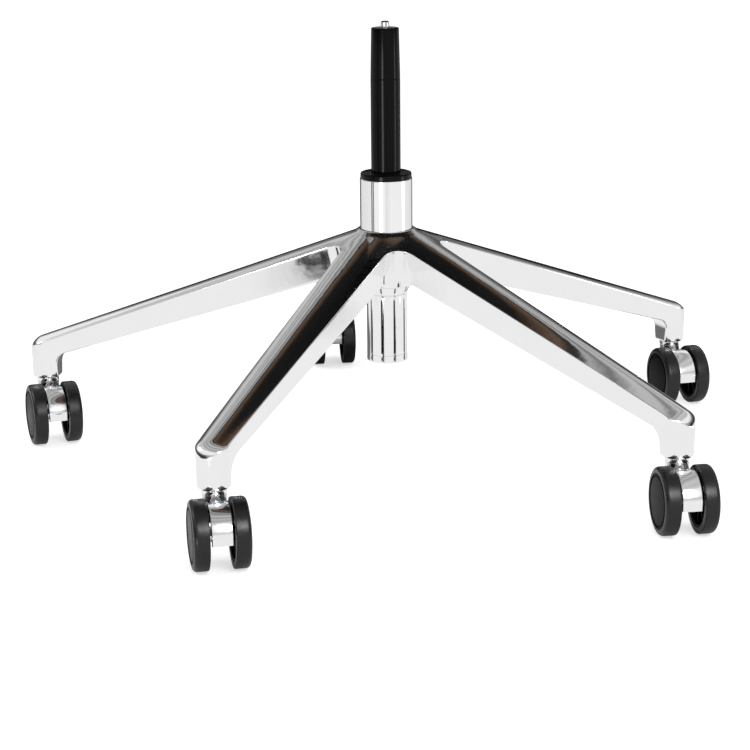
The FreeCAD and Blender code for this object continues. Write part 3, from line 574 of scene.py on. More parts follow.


# painted shade on the tube: how deep a point of the finished mesh lies in a flute, from 0 to 1, with short dark
# marks and thin dark lines round it, kept as the attribute "flute"
def fluteShade(piece, d):
    co = np.empty(len(piece.data.vertices) * 3, np.float32)
    piece.data.vertices.foreach_get("co", co)
    x, y, z = (co.reshape(-1, 3) / mm).T
    r = np.hypot(x, y)
    deep = clamp(d["fluteSpread"] - fluteAway(x, y, r, d) / (d["fluteWidth"] / 2))
    low, high = d["fluteFade"]
    run = clamp((z - d["fluteLow"]) / low) * clamp((d["fluteTop"] - z) / high)
    for low, high in d["fluteMarks"]:                # painted shade: short dark marks past the ends of each flute
        mark = clamp(np.minimum(z - low, high - z) / d["markFade"])
        run = np.maximum(run, d["markTone"] * mark)
    deep = deep * run
    for place, width, tone in d["ringLines"]:        # painted shade: thin dark lines round the tube, the top one a painted shadow under the barrel's edge
        deep = np.maximum(deep, tone * clamp(1.0 - np.abs(z - place) / width))
    deep = deep * (r > d["lowRadius"] - d["wall"] + 0.4)
    layer = piece.data.attributes.new("flute", "FLOAT", "POINT")
    layer.data.foreach_set("value", deep.astype(np.float32))


# tube radius is the profile's, less a rounded trough at each flute between fluteLow and the flare
def standpipe(d):
    r, low = d["lowRadius"], d["bottom"]
    bore, lowBore = d["radius"] - d["wall"] - d["play"], r - d["wall"]
    foot = roundedProfile([(d["lipHole"], low + d["lip"], 0), (d["lipHole"], low, 0.5), (r, low, 1.2),
                           (r, d["fluteLow"] - 1.0, 0)])
    fluted = stacked(r, np.linspace(d["fluteLow"] - 1.0, d["flareLow"] - 6.0, 24))
    flare = roundedProfile([
        (r, d["flareLow"] - 6.0, 0), (r, d["flareLow"], 2.5), (r + 1.6, d["flareLow"] + 3.0, 1.2),
        (d["hubRadius"] - 0.6, d["hubBottom"] - 3.0, 1.0), (d["hubRadius"], d["hubBottom"], 0.8),
        (d["radius"], d["hubTop"], 4.0), (d["radius"], d["top"], 0.8), (bore, d["top"], 0.5),
        (bore, d["top"] - d["bushingSeat"], 0.5), (lowBore, d["flareLow"] - 4.0, 2.0),
        (lowBore, low + d["lip"], 1.0), (d["lipHole"], low + d["lip"], 0)])
    profile = joined(foot, fluted[1:], flare[1:])
    reach = joined([0.0], np.cumsum(np.hypot(*np.diff(profile, axis=0).T)))
    shown = reach[np.argmax(profile[:, 1] > d["hubBottom"])]
    finer = np.unique(joined(reach, np.arange(0.0, shown, d["shadeStep"])))
    profile = np.stack([np.interp(finer, reach, profile[:, k]) for k in (0, 1)], -1)
    grid = turnedGrid(profile, 360)
    x, y, z = np.moveaxis(grid, -1, 0)
    radius = np.hypot(x, y)
    across = clamp(1.0 - (fluteAway(x, y, r, d) / (d["fluteWidth"] / 2)) ** 2)
    start, end = d["fluteRun"]
    along = clamp((z - d["fluteLow"]) / start)
    along = along * clamp((d["hubBottom"] - d["fluteEnd"] - z) / end)
    outside = radius > lowBore + 1.0
    share = 1.0 - np.where(outside, d["fluteDepth"] * across * along, 0.0) / radius
    grid[..., :2] *= share[..., None]
    piece = meshFromGrids("standpipeTube", [grid], creaseAngle=50.0)
    fluteShade(piece, d)
    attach(piece, "base")
    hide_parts("standpipe")
    return piece


pipeTube = standpipe(pipe)

# guide bushing: plastic collar with a recessed, glossy top
bushing = {
    "bore": 14.05, "outer": 22.0, "collar": 24.4, "collarHeight": 5.3, "length": 72.0, "edge": 1.6,
    "recessFrom": 15.6, "recessTo": 22.6, "recess": 0.9,
}


def guideBushing(d, top):
    crest = top + d["collarHeight"]
    bottom = top - d["length"]
    ring = roundedProfile([
        (d["bore"], bottom, 0.5), (d["outer"], bottom, 1.0), (d["outer"], top, 0.0), (d["collar"], top, 0.3),
        (d["collar"], crest, d["edge"]), (d["recessTo"], crest, 0.3),
        (d["recessTo"] - 0.5, crest - d["recess"], 0.4), (d["recessFrom"] + 0.5, crest - d["recess"], 0.4),
        (d["recessFrom"], crest, 0.3), (d["bore"], crest, 0.6)], closed=True)
    piece = meshFromGrids("guideBushingRing", [turnedGrid(ring, 160)])
    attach(piece, "base")
    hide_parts("guide_bushing")
    return piece


bushingRing = guideBushing(bushing, pipe["top"])

# lift cylinder with the tapered top that presses into the seat mechanism
lift = {"radius": 14.0, "wall": 2.0, "low": 200.0, "straightTop": 361.0, "top": 408.0, "topRadius": 13.0,
        "buttonBore": 4.05, "buttonFloor": 392.0, "cavityTop": 387.0, "mouth": 1.5, "joint": 0.25}


def liftCylinder(d):
    bore = d["radius"] - d["wall"]
    r, joint = d["radius"], d["straightTop"]
    profile = roundedProfile([
        (0.0, d["cavityTop"], 0), (bore, d["cavityTop"], 2.0), (bore, d["low"] + 2.0, 0.4),
        (bore - d["mouth"], d["low"] + 2.0, 0.0), (bore - d["mouth"], d["low"], 0.4), (r, d["low"], 1.0),
        (r, joint - 0.5, 0.2), (r - d["joint"], joint, 0.2),
        (r, joint + 0.5, 0.2), (d["topRadius"], d["top"], 1.2), (d["buttonBore"], d["top"], 0.3),
        (d["buttonBore"], d["buttonFloor"], 0.3), (0.0, d["buttonFloor"], 0)])
    piece = meshFromGrids("liftCylinderTube", [turnedGrid(profile, 160)])
    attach(piece, "cylinder")
    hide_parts("lift_cylinder")
    return piece


liftTube = liftCylinder(lift)
print("column done")


# wheels: profiles of (radius, distance along the axle), laid on the axle of their roll joint
wheel = {
    "radius": 30.0, "innerFace": 10.5, "width": 14.0, "tyreThickness": 5.4, "tyreEdge": 3.8, "tyreSlope": 0.9,
    "grooveRadius": 21.6, "grooveWidth": 1.1, "grooveDepth": 1.3, "discRecess": 0.5,
    "bore": 3.05, "boreEnd": 21.0, "bossRadius": 7.5, "webInner": 15.5, "rim": 2.4, "ribs": 8,
}


# point grid moved from the Z axis onto a roll joint's axle, side 1 towards the axis and -1 away from it
def onAxle(grid, joint, side):
    axis = np.array(joint["axis"], float) * side
    axis = axis / np.linalg.norm(axis)
    return laid(grid, np.array(joint["pos_m"], float) / mm, np.cross(up, axis), up, axis)


# tread ring: soft tyre with a rounded inner edge and an outer side that falls back
def tyreProfile(d):
    face = d["innerFace"] + d["width"]
    inner = d["radius"] - d["tyreThickness"]
    return roundedProfile([
        (inner, d["innerFace"], 0.2), (d["radius"], d["innerFace"], 1.0),
        (d["radius"], face - d["tyreSlope"], d["tyreEdge"]), (inner, face - 0.4, 0.25)], steps=7, closed=True)


# wheel disc: hub bore, boss, recessed web, rim and the ring groove of the outer side
def coreProfile(d):
    face = d["innerFace"] + d["width"]
    rim = d["radius"] - d["tyreThickness"] - 0.02
    groove, wide = d["grooveRadius"], d["grooveRadius"] + d["grooveWidth"]
    disc = face - d["discRecess"]
    return roundedProfile([
        (0.0, d["boreEnd"], 0), (d["bore"], d["boreEnd"], 0), (d["bore"], d["innerFace"], 0.4),
        (d["bossRadius"], d["innerFace"], 0.5), (d["bossRadius"], d["webInner"], 0.8),
        (rim - d["rim"], d["webInner"], 1.2), (rim - d["rim"], d["innerFace"] + 0.6, 0.5),
        (rim, d["innerFace"] + 0.6, 0.3), (rim, face - 0.4, 0.3),
        (wide + 0.4, face, 0.3), (wide, face - d["grooveDepth"], 0.3), (groove, face - d["grooveDepth"], 0.3),
        (groove - 0.2, disc, 0.35), (0.0, disc - 0.3, 0)], steps=4)


# spokes on the hidden inner side of the disc: narrow ribs from boss to rim
def coreRibs(d):
    rim = d["radius"] - d["tyreThickness"] - d["rim"] + 0.3
    low, high = d["innerFace"] + 2.2, d["webInner"] + 0.3
    section = roundedProfile([(-0.8, low, 0.35), (0.8, low, 0.35), (1.0, high, 0), (-1.0, high, 0)], 3, True)
    rows = []
    for r, share in ((d["bossRadius"] - 0.3, 0.0), (d["bossRadius"] - 0.3, 1.0), (rim, 1.0), (rim, 0.0)):
        middle = (low + high) / 2
        y, z = section[:, 0] * share, middle + (section[:, 1] - middle) * share
        rows.append(stacked(r, y, z))
    return [turnedZ(np.stack(rows), 360.0 * k / d["ribs"]) for k in range(d["ribs"])]


joints = {j["name"]: j for j in frame["joints"]}


def makeWheel(d, number, side, sign):
    joint = joints["caster_%d_%s_roll" % (number, side)]
    body = "caster_%d_%s_wheel" % (number, side)
    disc = [turnedGrid(coreProfile(d), 144)] + coreRibs(d)
    core = meshFromGrids("casterDisc%d%s" % (number, side), [onAxle(g, joint, sign) for g in disc])
    ring = turnedGrid(tyreProfile(d), 144)
    tread = meshFromGrids("casterTread%d%s" % (number, side), [onAxle(ring, joint, sign)])
    for piece, node, slotName in ((core, "core", "wheel_nylon"), (tread, "tyre", "tread_rubber")):
        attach(piece, body)
        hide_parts("caster_%d_%s_%s" % (number, side, node))
    return core, tread


wheelPieces = [makeWheel(wheel, k, side, sign) for k in range(1, star["legs"] + 1)
               for side, sign in (("left", 1.0), ("right", -1.0))]
print("wheels done")


# caster yokes: hood over the wheels, middle web, axle boss and neck, in the caster's own frame
yoke = {
    "trail": 24.0, "axleHeight": 30.0, "hoodRadius": 27.0, "hoodHalf": 9.0, "hoodThick": 3.0, "edge": 0.9,
    "crown": 0.5, "lipTop": 35.6, "lipBottom": 28.3, "webHalf": 3.5, "bossRadius": 6.5, "bossFace": 10.3,
    "neckRadius": 10.5, "neckLow": 34.0, "ringRadius": 10.9, "ringTop": 62.2, "ringHeight": 4.0,
    "stemRadius": 5.5, "wheelRoom": 30.8, "roomFace": 9.7, "axleRadius": 3.0, "neckRows": (36.0, 57.6),
    "webSpan": (-20.0, 200.0), "webBevel": 0.03, "webFlat": 0.86, "play": 0.02,
}


# closed band: a rounded oblong section carried over the hood's arc and down its flat lip
def hoodGrid(d):
    bend = math.asin((d["axleHeight"] - d["lipTop"]) / d["hoodRadius"])    # below the axle where positive
    back = math.pi - math.acos(d["trail"] / d["hoodRadius"])
    a = np.linspace(back, -bend, 60)
    out = stacked(np.cos(a), np.sin(a))
    path = np.array([d["trail"], d["axleHeight"]]) + d["hoodRadius"] * out
    drop = np.linspace(0.15, 1.0, 7)[:, None] * np.array([0.0, d["lipBottom"] - d["lipTop"]])
    path = joined(path, path[-1] + drop)
    out = joined(out, np.tile([1.0, 0.0], (7, 1)))
    w, t, e = d["hoodHalf"], d["hoodThick"], d["edge"]
    top = [(y, d["crown"] * (1 - (y / w) ** 2) - d["crown"], 0) for y in np.linspace(-w + e, w - e, 9)[1:-1]]
    corners = [(-w, -d["crown"], e), *top, (w, -d["crown"], e), (w, -t, 0.5), (-w, -t, 0.5)]
    section = roundedProfile(corners, 4, closed=True)
    y, depth = section[:, 0], section[:, 1]
    x = path[:, :1] + out[:, :1] * depth
    z = path[:, 1:] + out[:, 1:] * depth
    grid = stacked(x, y, z)
    ends = [np.broadcast_to(row.mean(axis=0), row.shape)[None] for row in (grid[0], grid[-1])]
    return joined(ends[0], grid, ends[1])


# flat plate between the wheels: an outline of rays from the axle, bevelled on both faces
def webGrid(d):
    a = np.radians(np.linspace(*d["webSpan"], 90))
    r = d["hoodRadius"] - 1.0
    x, z = d["trail"] + r * np.cos(a), d["axleHeight"] + r * np.sin(a)
    x = np.clip(x, -d["neckRadius"] + 3.0, d["trail"] + 26.0)
    z = np.maximum(z, d["lipBottom"] + 0.3)
    low = np.array([[d["trail"] - 12.0, d["lipBottom"] + 0.6], [d["trail"], d["lipBottom"]],
                    [d["trail"] + 12.0, d["lipBottom"]], [x[0], z[0]]])
    outline = joined(stacked(x, z), low)
    middle = np.array([d["trail"], d["axleHeight"] + 6.0])
    inner, middle = outline + (middle - outline) * d["webBevel"], 0 * outline + middle
    rows = []
    for points, y in ((middle, -1.0), (inner, -1.0), (outline, -d["webFlat"]), (outline, d["webFlat"]),
                      (inner, 1.0), (middle, 1.0)):
        rows.append(stacked(points[:, 0], y * d["webHalf"], points[:, 1]))
    return np.stack(rows)


# the neck is turned about the swivel axis and flattened where the wheels pass
def neckGrid(d, profile):
    grid = turnedGrid(profile, 128)
    near = np.hypot(grid[..., 0] - d["trail"], grid[..., 2] - d["axleHeight"]) < d["wheelRoom"]
    grid[..., 1] = np.where(near, np.clip(grid[..., 1], -d["roomFace"], d["roomFace"]), grid[..., 1])
    return grid


# grid moved from the caster's own frame, forward along its hood, to the swivel axis of a caster
def casterFrame(grid, number):
    swivel = np.array(joints["caster_%d_swivel" % number]["pos_m"], float) / mm
    axle = np.array(joints["caster_%d_left_roll" % number]["axis"], float)
    return laid(grid, swivel * (1.0, 1.0, 0.0), np.cross(axle, up), axle, up)


def makeYoke(d, number):
    face = d["bossFace"]
    boss = roundedProfile([(d["axleRadius"], -face, 0.3), (d["bossRadius"], -face, 0.4),
                           (d["bossRadius"], face, 0.4), (d["axleRadius"], face, 0.3)], closed=True)
    bossGrid = turnedGrid(boss, 64)[..., [0, 2, 1]] + (d["trail"], 0.0, d["axleHeight"])
    ringLow = d["ringTop"] - d["ringHeight"]
    neck = roundedProfile([(0.0, d["neckLow"], 0), (d["neckRadius"], d["neckLow"], 1.2),
                           (d["neckRadius"], ringLow, 0.25), (0.0, ringLow, 0)], 4)
    neck = joined(neck[:7], stacked(d["neckRadius"], np.linspace(*d["neckRows"], 20)),
                           neck[7:])
    grids = [hoodGrid(d), webGrid(d), bossGrid, neckGrid(d, neck)]
    body = meshFromGrids("casterYoke%d" % number, [casterFrame(g, number) for g in grids], creaseAngle=35.0)
    collar = roundedProfile([
        (d["stemRadius"], ringLow + d["play"], 0), (d["ringRadius"], ringLow + d["play"], 0.6),
        (d["ringRadius"], ringLow + 2.0, 0), (d["ringRadius"], d["ringTop"], 0.6),
        (d["stemRadius"], d["ringTop"], 0)], closed=True)
    ring = meshFromGrids("casterCollar%d" % number, [casterFrame(neckGrid(d, collar), number)])
    for piece, node in ((body, "body"), (ring, "neck_ring")):
        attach(piece, "caster_%d" % number)
        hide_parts("caster_%d_%s" % (number, node))
    return body, ring


yokePieces = [makeYoke(yoke, k) for k in range(1, star["legs"] + 1)]
print("casters done")


# shader helpers
# feeds the inputs of a node: sockets are linked, anything else is a plain value
def feed(tree, node, feeds):
    for key, given in feeds.items():
        if isinstance(given, bpy.types.NodeSocket):
            tree.links.new(given, node.inputs[key])
        else:
            node.inputs[key].default_value = given


# adds a node, sets its options, then feeds its inputs
def addNode(tree, kind, feeds=(), **options):
    node = tree.nodes.new(kind)
    for key, value in options.items():
        setattr(node, key, value)
    feed(tree, node, dict(feeds))
    return node


# result of a math node on the given sockets or numbers
def maths(tree, operation, *given):
    return addNode(tree, "ShaderNodeMath", enumerate(given), operation=operation).outputs[0]


# result of a vector math node, a number for lengths and dot products
def vectors(tree, operation, *given):
    node = addNode(tree, "ShaderNodeVectorMath", enumerate(given), operation=operation)
    return node.outputs["Value" if operation in ("LENGTH", "DOT_PRODUCT") else "Vector"]


# colour a where the share is 0, b where it is 1
def mixed(tree, share, a, b):
    node = addNode(tree, "ShaderNodeMix", {"Factor": share, "A": a, "B": b}, data_type="RGBA")
    return node.outputs["Result"]


# value carried from one range to another, in a straight line unless told otherwise
def ranged(tree, feeds, **options):
    return addNode(tree, "ShaderNodeMapRange", feeds, **options).outputs["Result"]


# 0 at low and 1 at high, eased at both ends
def eased(tree, value, low, high):
    return ranged(tree, {"Value": value, "From Min": low, "From Max": high}, interpolation_type="SMOOTHSTEP")


def objectSpot(tree):
    return addNode(tree, "ShaderNodeTexCoord").outputs["Object"]


def opaque(color):
    return (*color, 1.0)


def grey(tone):
    return (tone, tone, tone, 1.0)


def newMaterial(name):
    material = bpy.data.materials.new(name)
    material.use_nodes = True
    return material, material.node_tree, material.node_tree.nodes["Principled BSDF"]


# shared effects: node groups with number inputs and outputs
effects = {
    "marksInputs": ("Base", "Amount", "Scale", "Tone"), "marksDetail": 5.0, "marksRoughness": 0.6,
    "marksFrom": 0.35, "marksTo": 0.7,
    "wavesInputs": ("Scale", "Swell", "Grain"), "swellDetail": 2.0, "grainScale": 2400.0,
}


def newGroup(name, inputs, outputs):
    tree = bpy.data.node_groups.new(name, "ShaderNodeTree")
    for direction, labels in (("INPUT", inputs), ("OUTPUT", outputs)):
        for label in labels:
            tree.interface.new_socket(label, in_out=direction, socket_type="NodeSocketFloat")
    return tree, tree.nodes.new("NodeGroupInput").outputs, tree.nodes.new("NodeGroupOutput")


# slow swells of a cast and buffed surface plus a fine grain: height = swell * noise + grain * fine noise
def castWaves(d):
    tree, given, out = newGroup("castWaves", d["wavesInputs"], ("Height",))
    spot = objectSpot(tree)
    slow = addNode(tree, "ShaderNodeTexNoise", {
        "Vector": spot, "Scale": given["Scale"], "Detail": d["swellDetail"]})
    fine = addNode(tree, "ShaderNodeTexNoise", {"Vector": spot, "Scale": d["grainScale"]})
    swell = maths(tree, "MULTIPLY", slow.outputs["Fac"], given["Swell"])
    grain = maths(tree, "MULTIPLY", fine.outputs["Fac"], given["Grain"])
    feed(tree, out, {"Height": maths(tree, "ADD", swell, grain)})
    return tree


# handling marks: roughness = base + amount * streaky noise, and shade = tone * the same noise
def handlingMarks(d):
    tree, given, out = newGroup("handlingMarks", d["marksInputs"], ("Roughness", "Shade"))
    noise = addNode(tree, "ShaderNodeTexNoise", {
        "Vector": objectSpot(tree), "Scale": given["Scale"], "Detail": d["marksDetail"],
        "Roughness": d["marksRoughness"]})
    streaks = ranged(tree, {
        "Value": noise.outputs["Fac"], "From Min": d["marksFrom"], "From Max": d["marksTo"]})
    feed(tree, out, {"Roughness": maths(tree, "MULTIPLY_ADD", streaks, given["Amount"], given["Base"]),
                     "Shade": maths(tree, "MULTIPLY", streaks, given["Tone"])})
    return tree


wavesGroup = castWaves(effects)
marksGroup = handlingMarks(effects)

# finishes: marks are base, amount, scale and tone, waves are scale, swell and grain, bump is in metres,
# gloss is the specular level where it isn't the usual half
finishes = {
    "polished_aluminium": {
        "color": (0.93, 0.93, 0.935), "metallic": 1.0,
        "marks": (0.055, 0.04, 28.0, 0.02), "waves": (55.0, 1.0, 0.004), "bump": 0.00018},
    "chrome_tube": {
        # painted shade: the attribute named by groove paints the tube's colour dark in its flutes and in lines
        # round it
        "color": (0.93, 0.93, 0.94), "metallic": 1.0, "groove": "flute", "grooveShadeColor": (0.02, 0.02, 0.022),
        "marks": (0.03, 0.03, 45.0, 0.02), "waves": (90.0, 0.5, 0.002), "bump": 0.00008},
    "chrome_casting": {
        "color": (0.92, 0.92, 0.93), "metallic": 1.0,
        "marks": (0.10, 0.04, 60.0, 0.02), "waves": (110.0, 1.0, 0.002), "bump": 0.00006},
    "black_steel": {
        "color": (0.003, 0.003, 0.0033), "gloss": 0.09, "metallic": 0.0,
        "marks": (0.13, 0.05, 60.0, 0.3), "waves": (160.0, 0.2, 0.10), "bump": 0.00004},
    "bushing_plastic": {
        "color": (0.004, 0.004, 0.0043), "gloss": 0.11, "metallic": 0.0,
        "marks": (0.10, 0.08, 80.0, 0.3), "waves": (140.0, 0.5, 0.2), "bump": 0.00004},
    "machined_alloy": {
        "color": (0.80, 0.80, 0.81), "metallic": 1.0,
        "marks": (0.22, 0.1, 90.0, 0.05), "waves": (200.0, 0.2, 0.4), "bump": 0.00004},
    "rod_steel": {
        "color": (0.70, 0.70, 0.72), "metallic": 1.0,
        "marks": (0.16, 0.08, 90.0, 0.05), "waves": (220.0, 0.2, 0.3), "bump": 0.00003},
    "bearing_steel": {
        "color": (0.62, 0.62, 0.64), "metallic": 1.0,
        "marks": (0.14, 0.1, 120.0, 0.05), "waves": (240.0, 0.2, 0.3), "bump": 0.00003},
    "button_steel": {
        "color": (0.66, 0.66, 0.68), "metallic": 1.0,
        "marks": (0.22, 0.1, 140.0, 0.06), "waves": (260.0, 0.2, 0.4), "bump": 0.00003},
    "nylon_cage": {
        "color": (0.66, 0.63, 0.54), "metallic": 0.0,
        "marks": (0.42, 0.1, 120.0, 0.1), "waves": (220.0, 0.4, 0.4), "bump": 0.00005},
    "bumper_rubber": {
        "color": (0.018, 0.018, 0.018), "metallic": 0.0,
        "marks": (0.6, 0.12, 100.0, 0.3), "waves": (180.0, 0.4, 0.7), "bump": 0.00008},
    "wheel_nylon": {
        "color": (0.004, 0.004, 0.0043), "gloss": 0.016, "metallic": 0.0,
        "marks": (0.20, 0.1, 70.0, 0.3), "waves": (150.0, 0.4, 0.5), "bump": 0.00005},
    "tread_rubber": {
        "color": (0.0055, 0.0055, 0.0058), "gloss": 0.42, "metallic": 0.0,
        "marks": (0.24, 0.12, 90.0, 0.25), "waves": (170.0, 0.4, 0.8), "bump": 0.00008},
}


# colour = base colour * (1 - shade), or the colour of the painted shade in the tube's flutes; roughness and bump
# height come from the groups
def makeFinish(name, d):
    material, tree, shader = newMaterial(name)
    marks, waves = [
        addNode(tree, "ShaderNodeGroup", zip(effects[key + "Inputs"], d[key]), node_tree=group).outputs
        for key, group in (("marks", marksGroup), ("waves", wavesGroup))]
    color = mixed(tree, marks["Shade"], opaque(d["color"]), grey(0.0))
    # painted shade from the mesh attribute, dark in the tube's flutes and lines
    if "groove" in d:
        depth = addNode(tree, "ShaderNodeAttribute", attribute_name=d["groove"]).outputs["Fac"]
        color = mixed(tree, depth, color, opaque(d["grooveShadeColor"]))
    bump = addNode(tree, "ShaderNodeBump", {"Height": waves["Height"], "Distance": d["bump"]})
    feed(tree, shader, {
        "Base Color": color, "Roughness": marks["Roughness"], "Normal": bump.outputs["Normal"],
        "Metallic": d["metallic"], "Specular IOR Level": d.get("gloss", 0.5)})
    return material


materials = {name: makeFinish(name, d) for name, d in finishes.items()}
slotOf = {part["node"]: part["material_slot"] for part in frame["record"]["subparts"]}


def dress(piece, slotName):
    piece.data.materials.clear()
    piece.data.materials.append(materials[slotName])


for nodeName, node in frame["nodes"].items():
    dress(node, slotOf[nodeName])
dress(casting, "polished_aluminium")
dress(pipeTube, "chrome_tube")
dress(bushingRing, "bushing_plastic")
dress(liftTube, "black_steel")
for core, tread in wheelPieces:
    dress(core, "wheel_nylon")
    dress(tread, "tread_rubber")
for body, ring in yokePieces:
    dress(body, "chrome_casting")
    dress(ring, "chrome_casting")
print("finishes done")

# studio: white surround, soft lamps, pale floor and cards that only reflections show
studio = {
    "fill": 0.62, "glass": 0.95, "riseFrom": 0.16, "riseTo": 0.44,
    "aim": (0.0, 0.0, 0.15),
    "keyPlace": (1.92, -1.73, 1.93), "keySize": 1.3, "keyPower": 46.0,
    "sidePlace": (-2.2, -0.9, 1.8), "sideSize": 1.2, "sidePower": 18.0,
    "floorRadii": (0.0, 1.0, 30.0), "floorColor": 0.80, "floorRoughness": 0.9, "cameraLift": 0.58,
    "nearFloor": 0.9, "bandsFrom": 0.62, "bandsFull": 0.77,
    "contactReach": 0.075, "contactShadowTone": 0.12, "contactSamples": 6,
    "behindWay": (-0.428, 0.904, 0.0), "behindFrom": 0.10, "behindFull": 0.20, "behindTone": 0.16,
    "acrossWay": (0.904, 0.428, 0.0), "acrossShift": 0.13, "acrossFull": 0.24, "acrossEnd": 0.36,
    "overheadHeight": 0.47, "overheadRadius": 0.70, "overheadWander": 0.012,
    "overheadMiddle": (0.0, 0.05), "overheadSpan": (0.72, 1.15),
    "backRadius": 0.9, "backFoot": 0.002, "backHeight": 0.38, "backAzimuth": 115.0, "backSpread": 29.0,
    "wanderScale": 5.0, "wanderDetail": 1.5,
}

# tones that reflections show, grey where one number stands: low round the horizon by direction, high
# above it by height, floor by direction, and the cards by distance
# directions run from -X at 0 over -Y at 0.25, +X at 0.5 and +Y at 0.75 back to -X at 1
tones = {
    "low": ((0.0, 0.04), (0.18, 0.04), (0.25, 0.60), (0.32, 0.92), (0.44, 0.90), (0.52, 0.35), (0.57, 0.04),
            (0.90, 0.06), (1.0, 0.04)),
    "high": ((0.0, 0.40), (0.34, 0.40), (0.44, 0.85), (0.62, 0.92), (1.0, 0.75)),
    # painted highlights: the strips at 14 and 10 glow like lamps in reflections; the dark strips near 0.14 and
    # 0.16 paint dark streaks in the tube's reflection
    "floor": ((0.0, 0.80), (0.128, 0.86), (0.135, 0.08), (0.144, 0.10), (0.147, 0.80), (0.153, 0.80),
              (0.156, 0.12), (0.164, 0.16), (0.170, 0.93), (0.238, 0.95), (0.250, 14.0), (0.263, 14.0),
              (0.275, 0.95), (0.300, 0.95), (0.318, 0.80), (0.350, 0.86), (0.372, 0.93), (0.525, 0.92),
              (0.540, 10.0), (0.555, 0.90), (0.600, 0.85), (0.70, 0.78), (0.75, 0.20), (0.90, 0.20),
              (0.95, 0.78), (1.0, 0.80)),
    "overhead": ((0.0, 0.004), (0.19, 0.010), (0.215, (0.045, 0.029, 0.020)), (0.265, (0.120, 0.077, 0.051)),
                 (0.282, 0.025), (0.300, 0.03), (0.312, 0.42), (0.350, 0.16), (0.395, 0.50), (0.430, 0.50),
                 (0.450, 0.20), (0.500, 0.55), (0.560, 0.32), (0.66, 0.60), (0.80, 0.50), (1.0, 0.75)),
    "back": ((0.0, 0.015), (0.80, 0.02), (1.0, 0.25)),
}


# colour of a tone ramp at the given share
def toneRamp(tree, stops, share):
    node = addNode(tree, "ShaderNodeValToRGB", {"Fac": share})
    elements = node.color_ramp.elements
    while len(elements) < len(stops):
        elements.new(0.5)
    for element, (position, tone) in zip(elements, stops):
        element.position = position
        element.color = opaque(tone) if isinstance(tone, tuple) else grey(tone)
    return node.outputs["Color"]


# turn round the column axis of a direction or place, from 0 to 1, starting at -X, and its height
def turnAndHeight(tree, vector):
    parts = addNode(tree, "ShaderNodeSeparateXYZ", {0: vector}).outputs
    angle = maths(tree, "ARCTAN2", parts["Y"], parts["X"])
    return maths(tree, "MULTIPLY_ADD", angle, 0.5 / math.pi, 0.5), parts["Z"]


# white for camera and glass rays, plain soft light for diffuse ones, the tones above for mirrors
def makeWorld(d):
    world = bpy.data.worlds.new("studioWorld")
    bpy.context.scene.world = world
    world.use_nodes = True
    tree = world.node_tree
    path = addNode(tree, "ShaderNodeLightPath").outputs
    turn, height = turnAndHeight(tree, addNode(tree, "ShaderNodeTexCoord").outputs["Generated"])
    sky = mixed(tree, eased(tree, height, d["riseFrom"], d["riseTo"]),
                toneRamp(tree, tones["low"], turn), toneRamp(tree, tones["high"], height))
    glass = maths(tree, "MULTIPLY", path["Is Transmission Ray"], d["glass"])
    direct = maths(tree, "MAXIMUM", path["Is Camera Ray"], path["Is Glossy Ray"])
    feed(tree, tree.nodes["Background"], {
        "Color": mixed(tree, path["Is Glossy Ray"], grey(1.0), sky),
        "Strength": maths(tree, "MAXIMUM", maths(tree, "MAXIMUM", glass, direct), d["fill"])})


def softLamp(name, place, size, power, target):
    data = bpy.data.lights.new(name, "AREA")
    data.shape = "DISK"
    data.size = size
    data.energy = power
    lamp = bpy.data.objects.new(name, data)
    bpy.context.scene.collection.objects.link(lamp)
    aim = Vector(target) - Vector(place)
    lamp.matrix_world = Matrix.Translation(place) @ aim.to_track_quat("-Z", "Y").to_matrix().to_4x4()
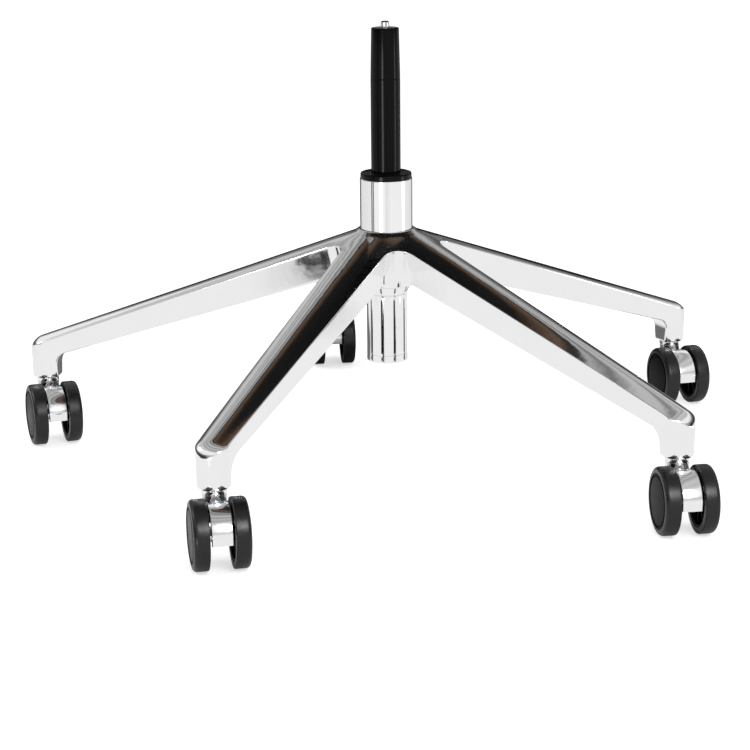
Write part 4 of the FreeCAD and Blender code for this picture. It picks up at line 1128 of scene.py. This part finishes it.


# pale floor: diffuse, so that it keeps the shadows, lifted towards white for the camera;
# mirrors see it glowing in soft bands round the column, which start some way out, with a dark strip behind
# the star, and with a painted shadow, darker where it lies close under something
def makeFloor(d):
    a = np.linspace(0.0, 2 * math.pi, 97)
    floor = meshFromGrids("studioFloor", [polar(np.array(d["floorRadii"])[:, None], a, 0.0) / mm], turn=False)
    material, tree, matte = newMaterial("studioFloor")
    path = addNode(tree, "ShaderNodeLightPath").outputs
    spot = objectSpot(tree)
    feed(tree, matte, {
        "Base Color": grey(d["floorColor"]), "Roughness": d["floorRoughness"], "Specular IOR Level": 0.0,
        "Emission Color": grey(1.0),
        "Emission Strength": maths(tree, "MULTIPLY", path["Is Camera Ray"], d["cameraLift"])})
    turn = turnAndHeight(tree, spot)[0]
    outside = eased(tree, vectors(tree, "LENGTH", spot), d["bandsFrom"], d["bandsFull"])
    tone = mixed(tree, outside, grey(d["nearFloor"]), toneRamp(tree, tones["floor"], turn))
    beyond = eased(tree, vectors(tree, "DOT_PRODUCT", spot, d["behindWay"]), d["behindFrom"], d["behindFull"])
    shifted = maths(tree, "ADD", vectors(tree, "DOT_PRODUCT", spot, d["acrossWay"]), d["acrossShift"])
    within = eased(tree, maths(tree, "ABSOLUTE", shifted), d["acrossEnd"], d["acrossFull"])
    tone = mixed(tree, maths(tree, "MULTIPLY", beyond, within), tone, grey(d["behindTone"]))
    # painted shadow: ambient occlusion darkens the floor's glow for mirrors where something lies close above it
    contactShadow = addNode(tree, "ShaderNodeAmbientOcclusion", {"Distance": d["contactReach"]},
                      samples=d["contactSamples"])
    shade = ranged(tree, {"Value": contactShadow.outputs["AO"], "To Min": d["contactShadowTone"]})
    glow = addNode(tree, "ShaderNodeEmission", {"Color": tone, "Strength": shade})
    both = addNode(tree, "ShaderNodeMixShader", {
        "Fac": path["Is Glossy Ray"], 1: matte.outputs[0], 2: glow.outputs[0]})
    feed(tree, tree.nodes["Material Output"], {"Surface": both.outputs[0]})
    floor.data.materials.append(material)


# card seen only in reflections; its tone follows the distance from middle, measured in spans, with a
# slow wander
def glossCard(name, grid, middle, spans, wander, stops):
    card = meshFromGrids(name, [grid / mm], turn=False)
    material, tree, unused = newMaterial(name)
    tree.nodes.remove(unused)
    spot = objectSpot(tree)
    scale = [1.0 / span if span else 0.0 for span in spans]
    away = vectors(tree, "LENGTH", vectors(tree, "MULTIPLY", vectors(tree, "SUBTRACT", spot, middle), scale))
    noise = addNode(tree, "ShaderNodeTexNoise", {
        "Vector": spot, "Scale": studio["wanderScale"], "Detail": studio["wanderDetail"]})
    drift = ranged(tree, {"Value": noise.outputs["Fac"], "To Min": -wander, "To Max": wander})
    color = toneRamp(tree, stops, maths(tree, "ADD", away, drift))
    glow = addNode(tree, "ShaderNodeEmission", {"Color": color})
    feed(tree, tree.nodes["Material Output"], {"Surface": glow.outputs[0]})
    card.data.materials.append(material)
    for sight in ("visible_camera", "visible_diffuse", "visible_shadow", "visible_transmission"):
        setattr(card, sight, False)


# level disc over the star, and an upright screen behind it
def makeCards(d):
    turn = np.linspace(0.0, 2 * math.pi, 65)
    r = np.linspace(0.0, d["overheadRadius"], 7)[:, None]
    glossCard("overheadCard", polar(r, turn, d["overheadHeight"]), (*d["overheadMiddle"], 0.0),
              (*d["overheadSpan"], 0.0), d["overheadWander"], tones["overhead"])
    a = np.radians(d["backAzimuth"] + np.linspace(-d["backSpread"], d["backSpread"], 33))
    z = np.linspace(d["backFoot"], d["backHeight"], 9)[:, None]
    glossCard("backCard", polar(d["backRadius"], a, z), (0.0, 0.0, 0.0), (0.0, 0.0, d["backHeight"]), 0.0,
              tones["back"])


makeWorld(studio)
softLamp("keyLamp", studio["keyPlace"], studio["keySize"], studio["keyPower"], studio["aim"])
softLamp("sideLamp", studio["sidePlace"], studio["sideSize"], studio["sidePower"], studio["aim"])
makeFloor(studio)
makeCards(studio)
bpy.context.scene.view_settings.view_transform = "Standard"
print("studio done")
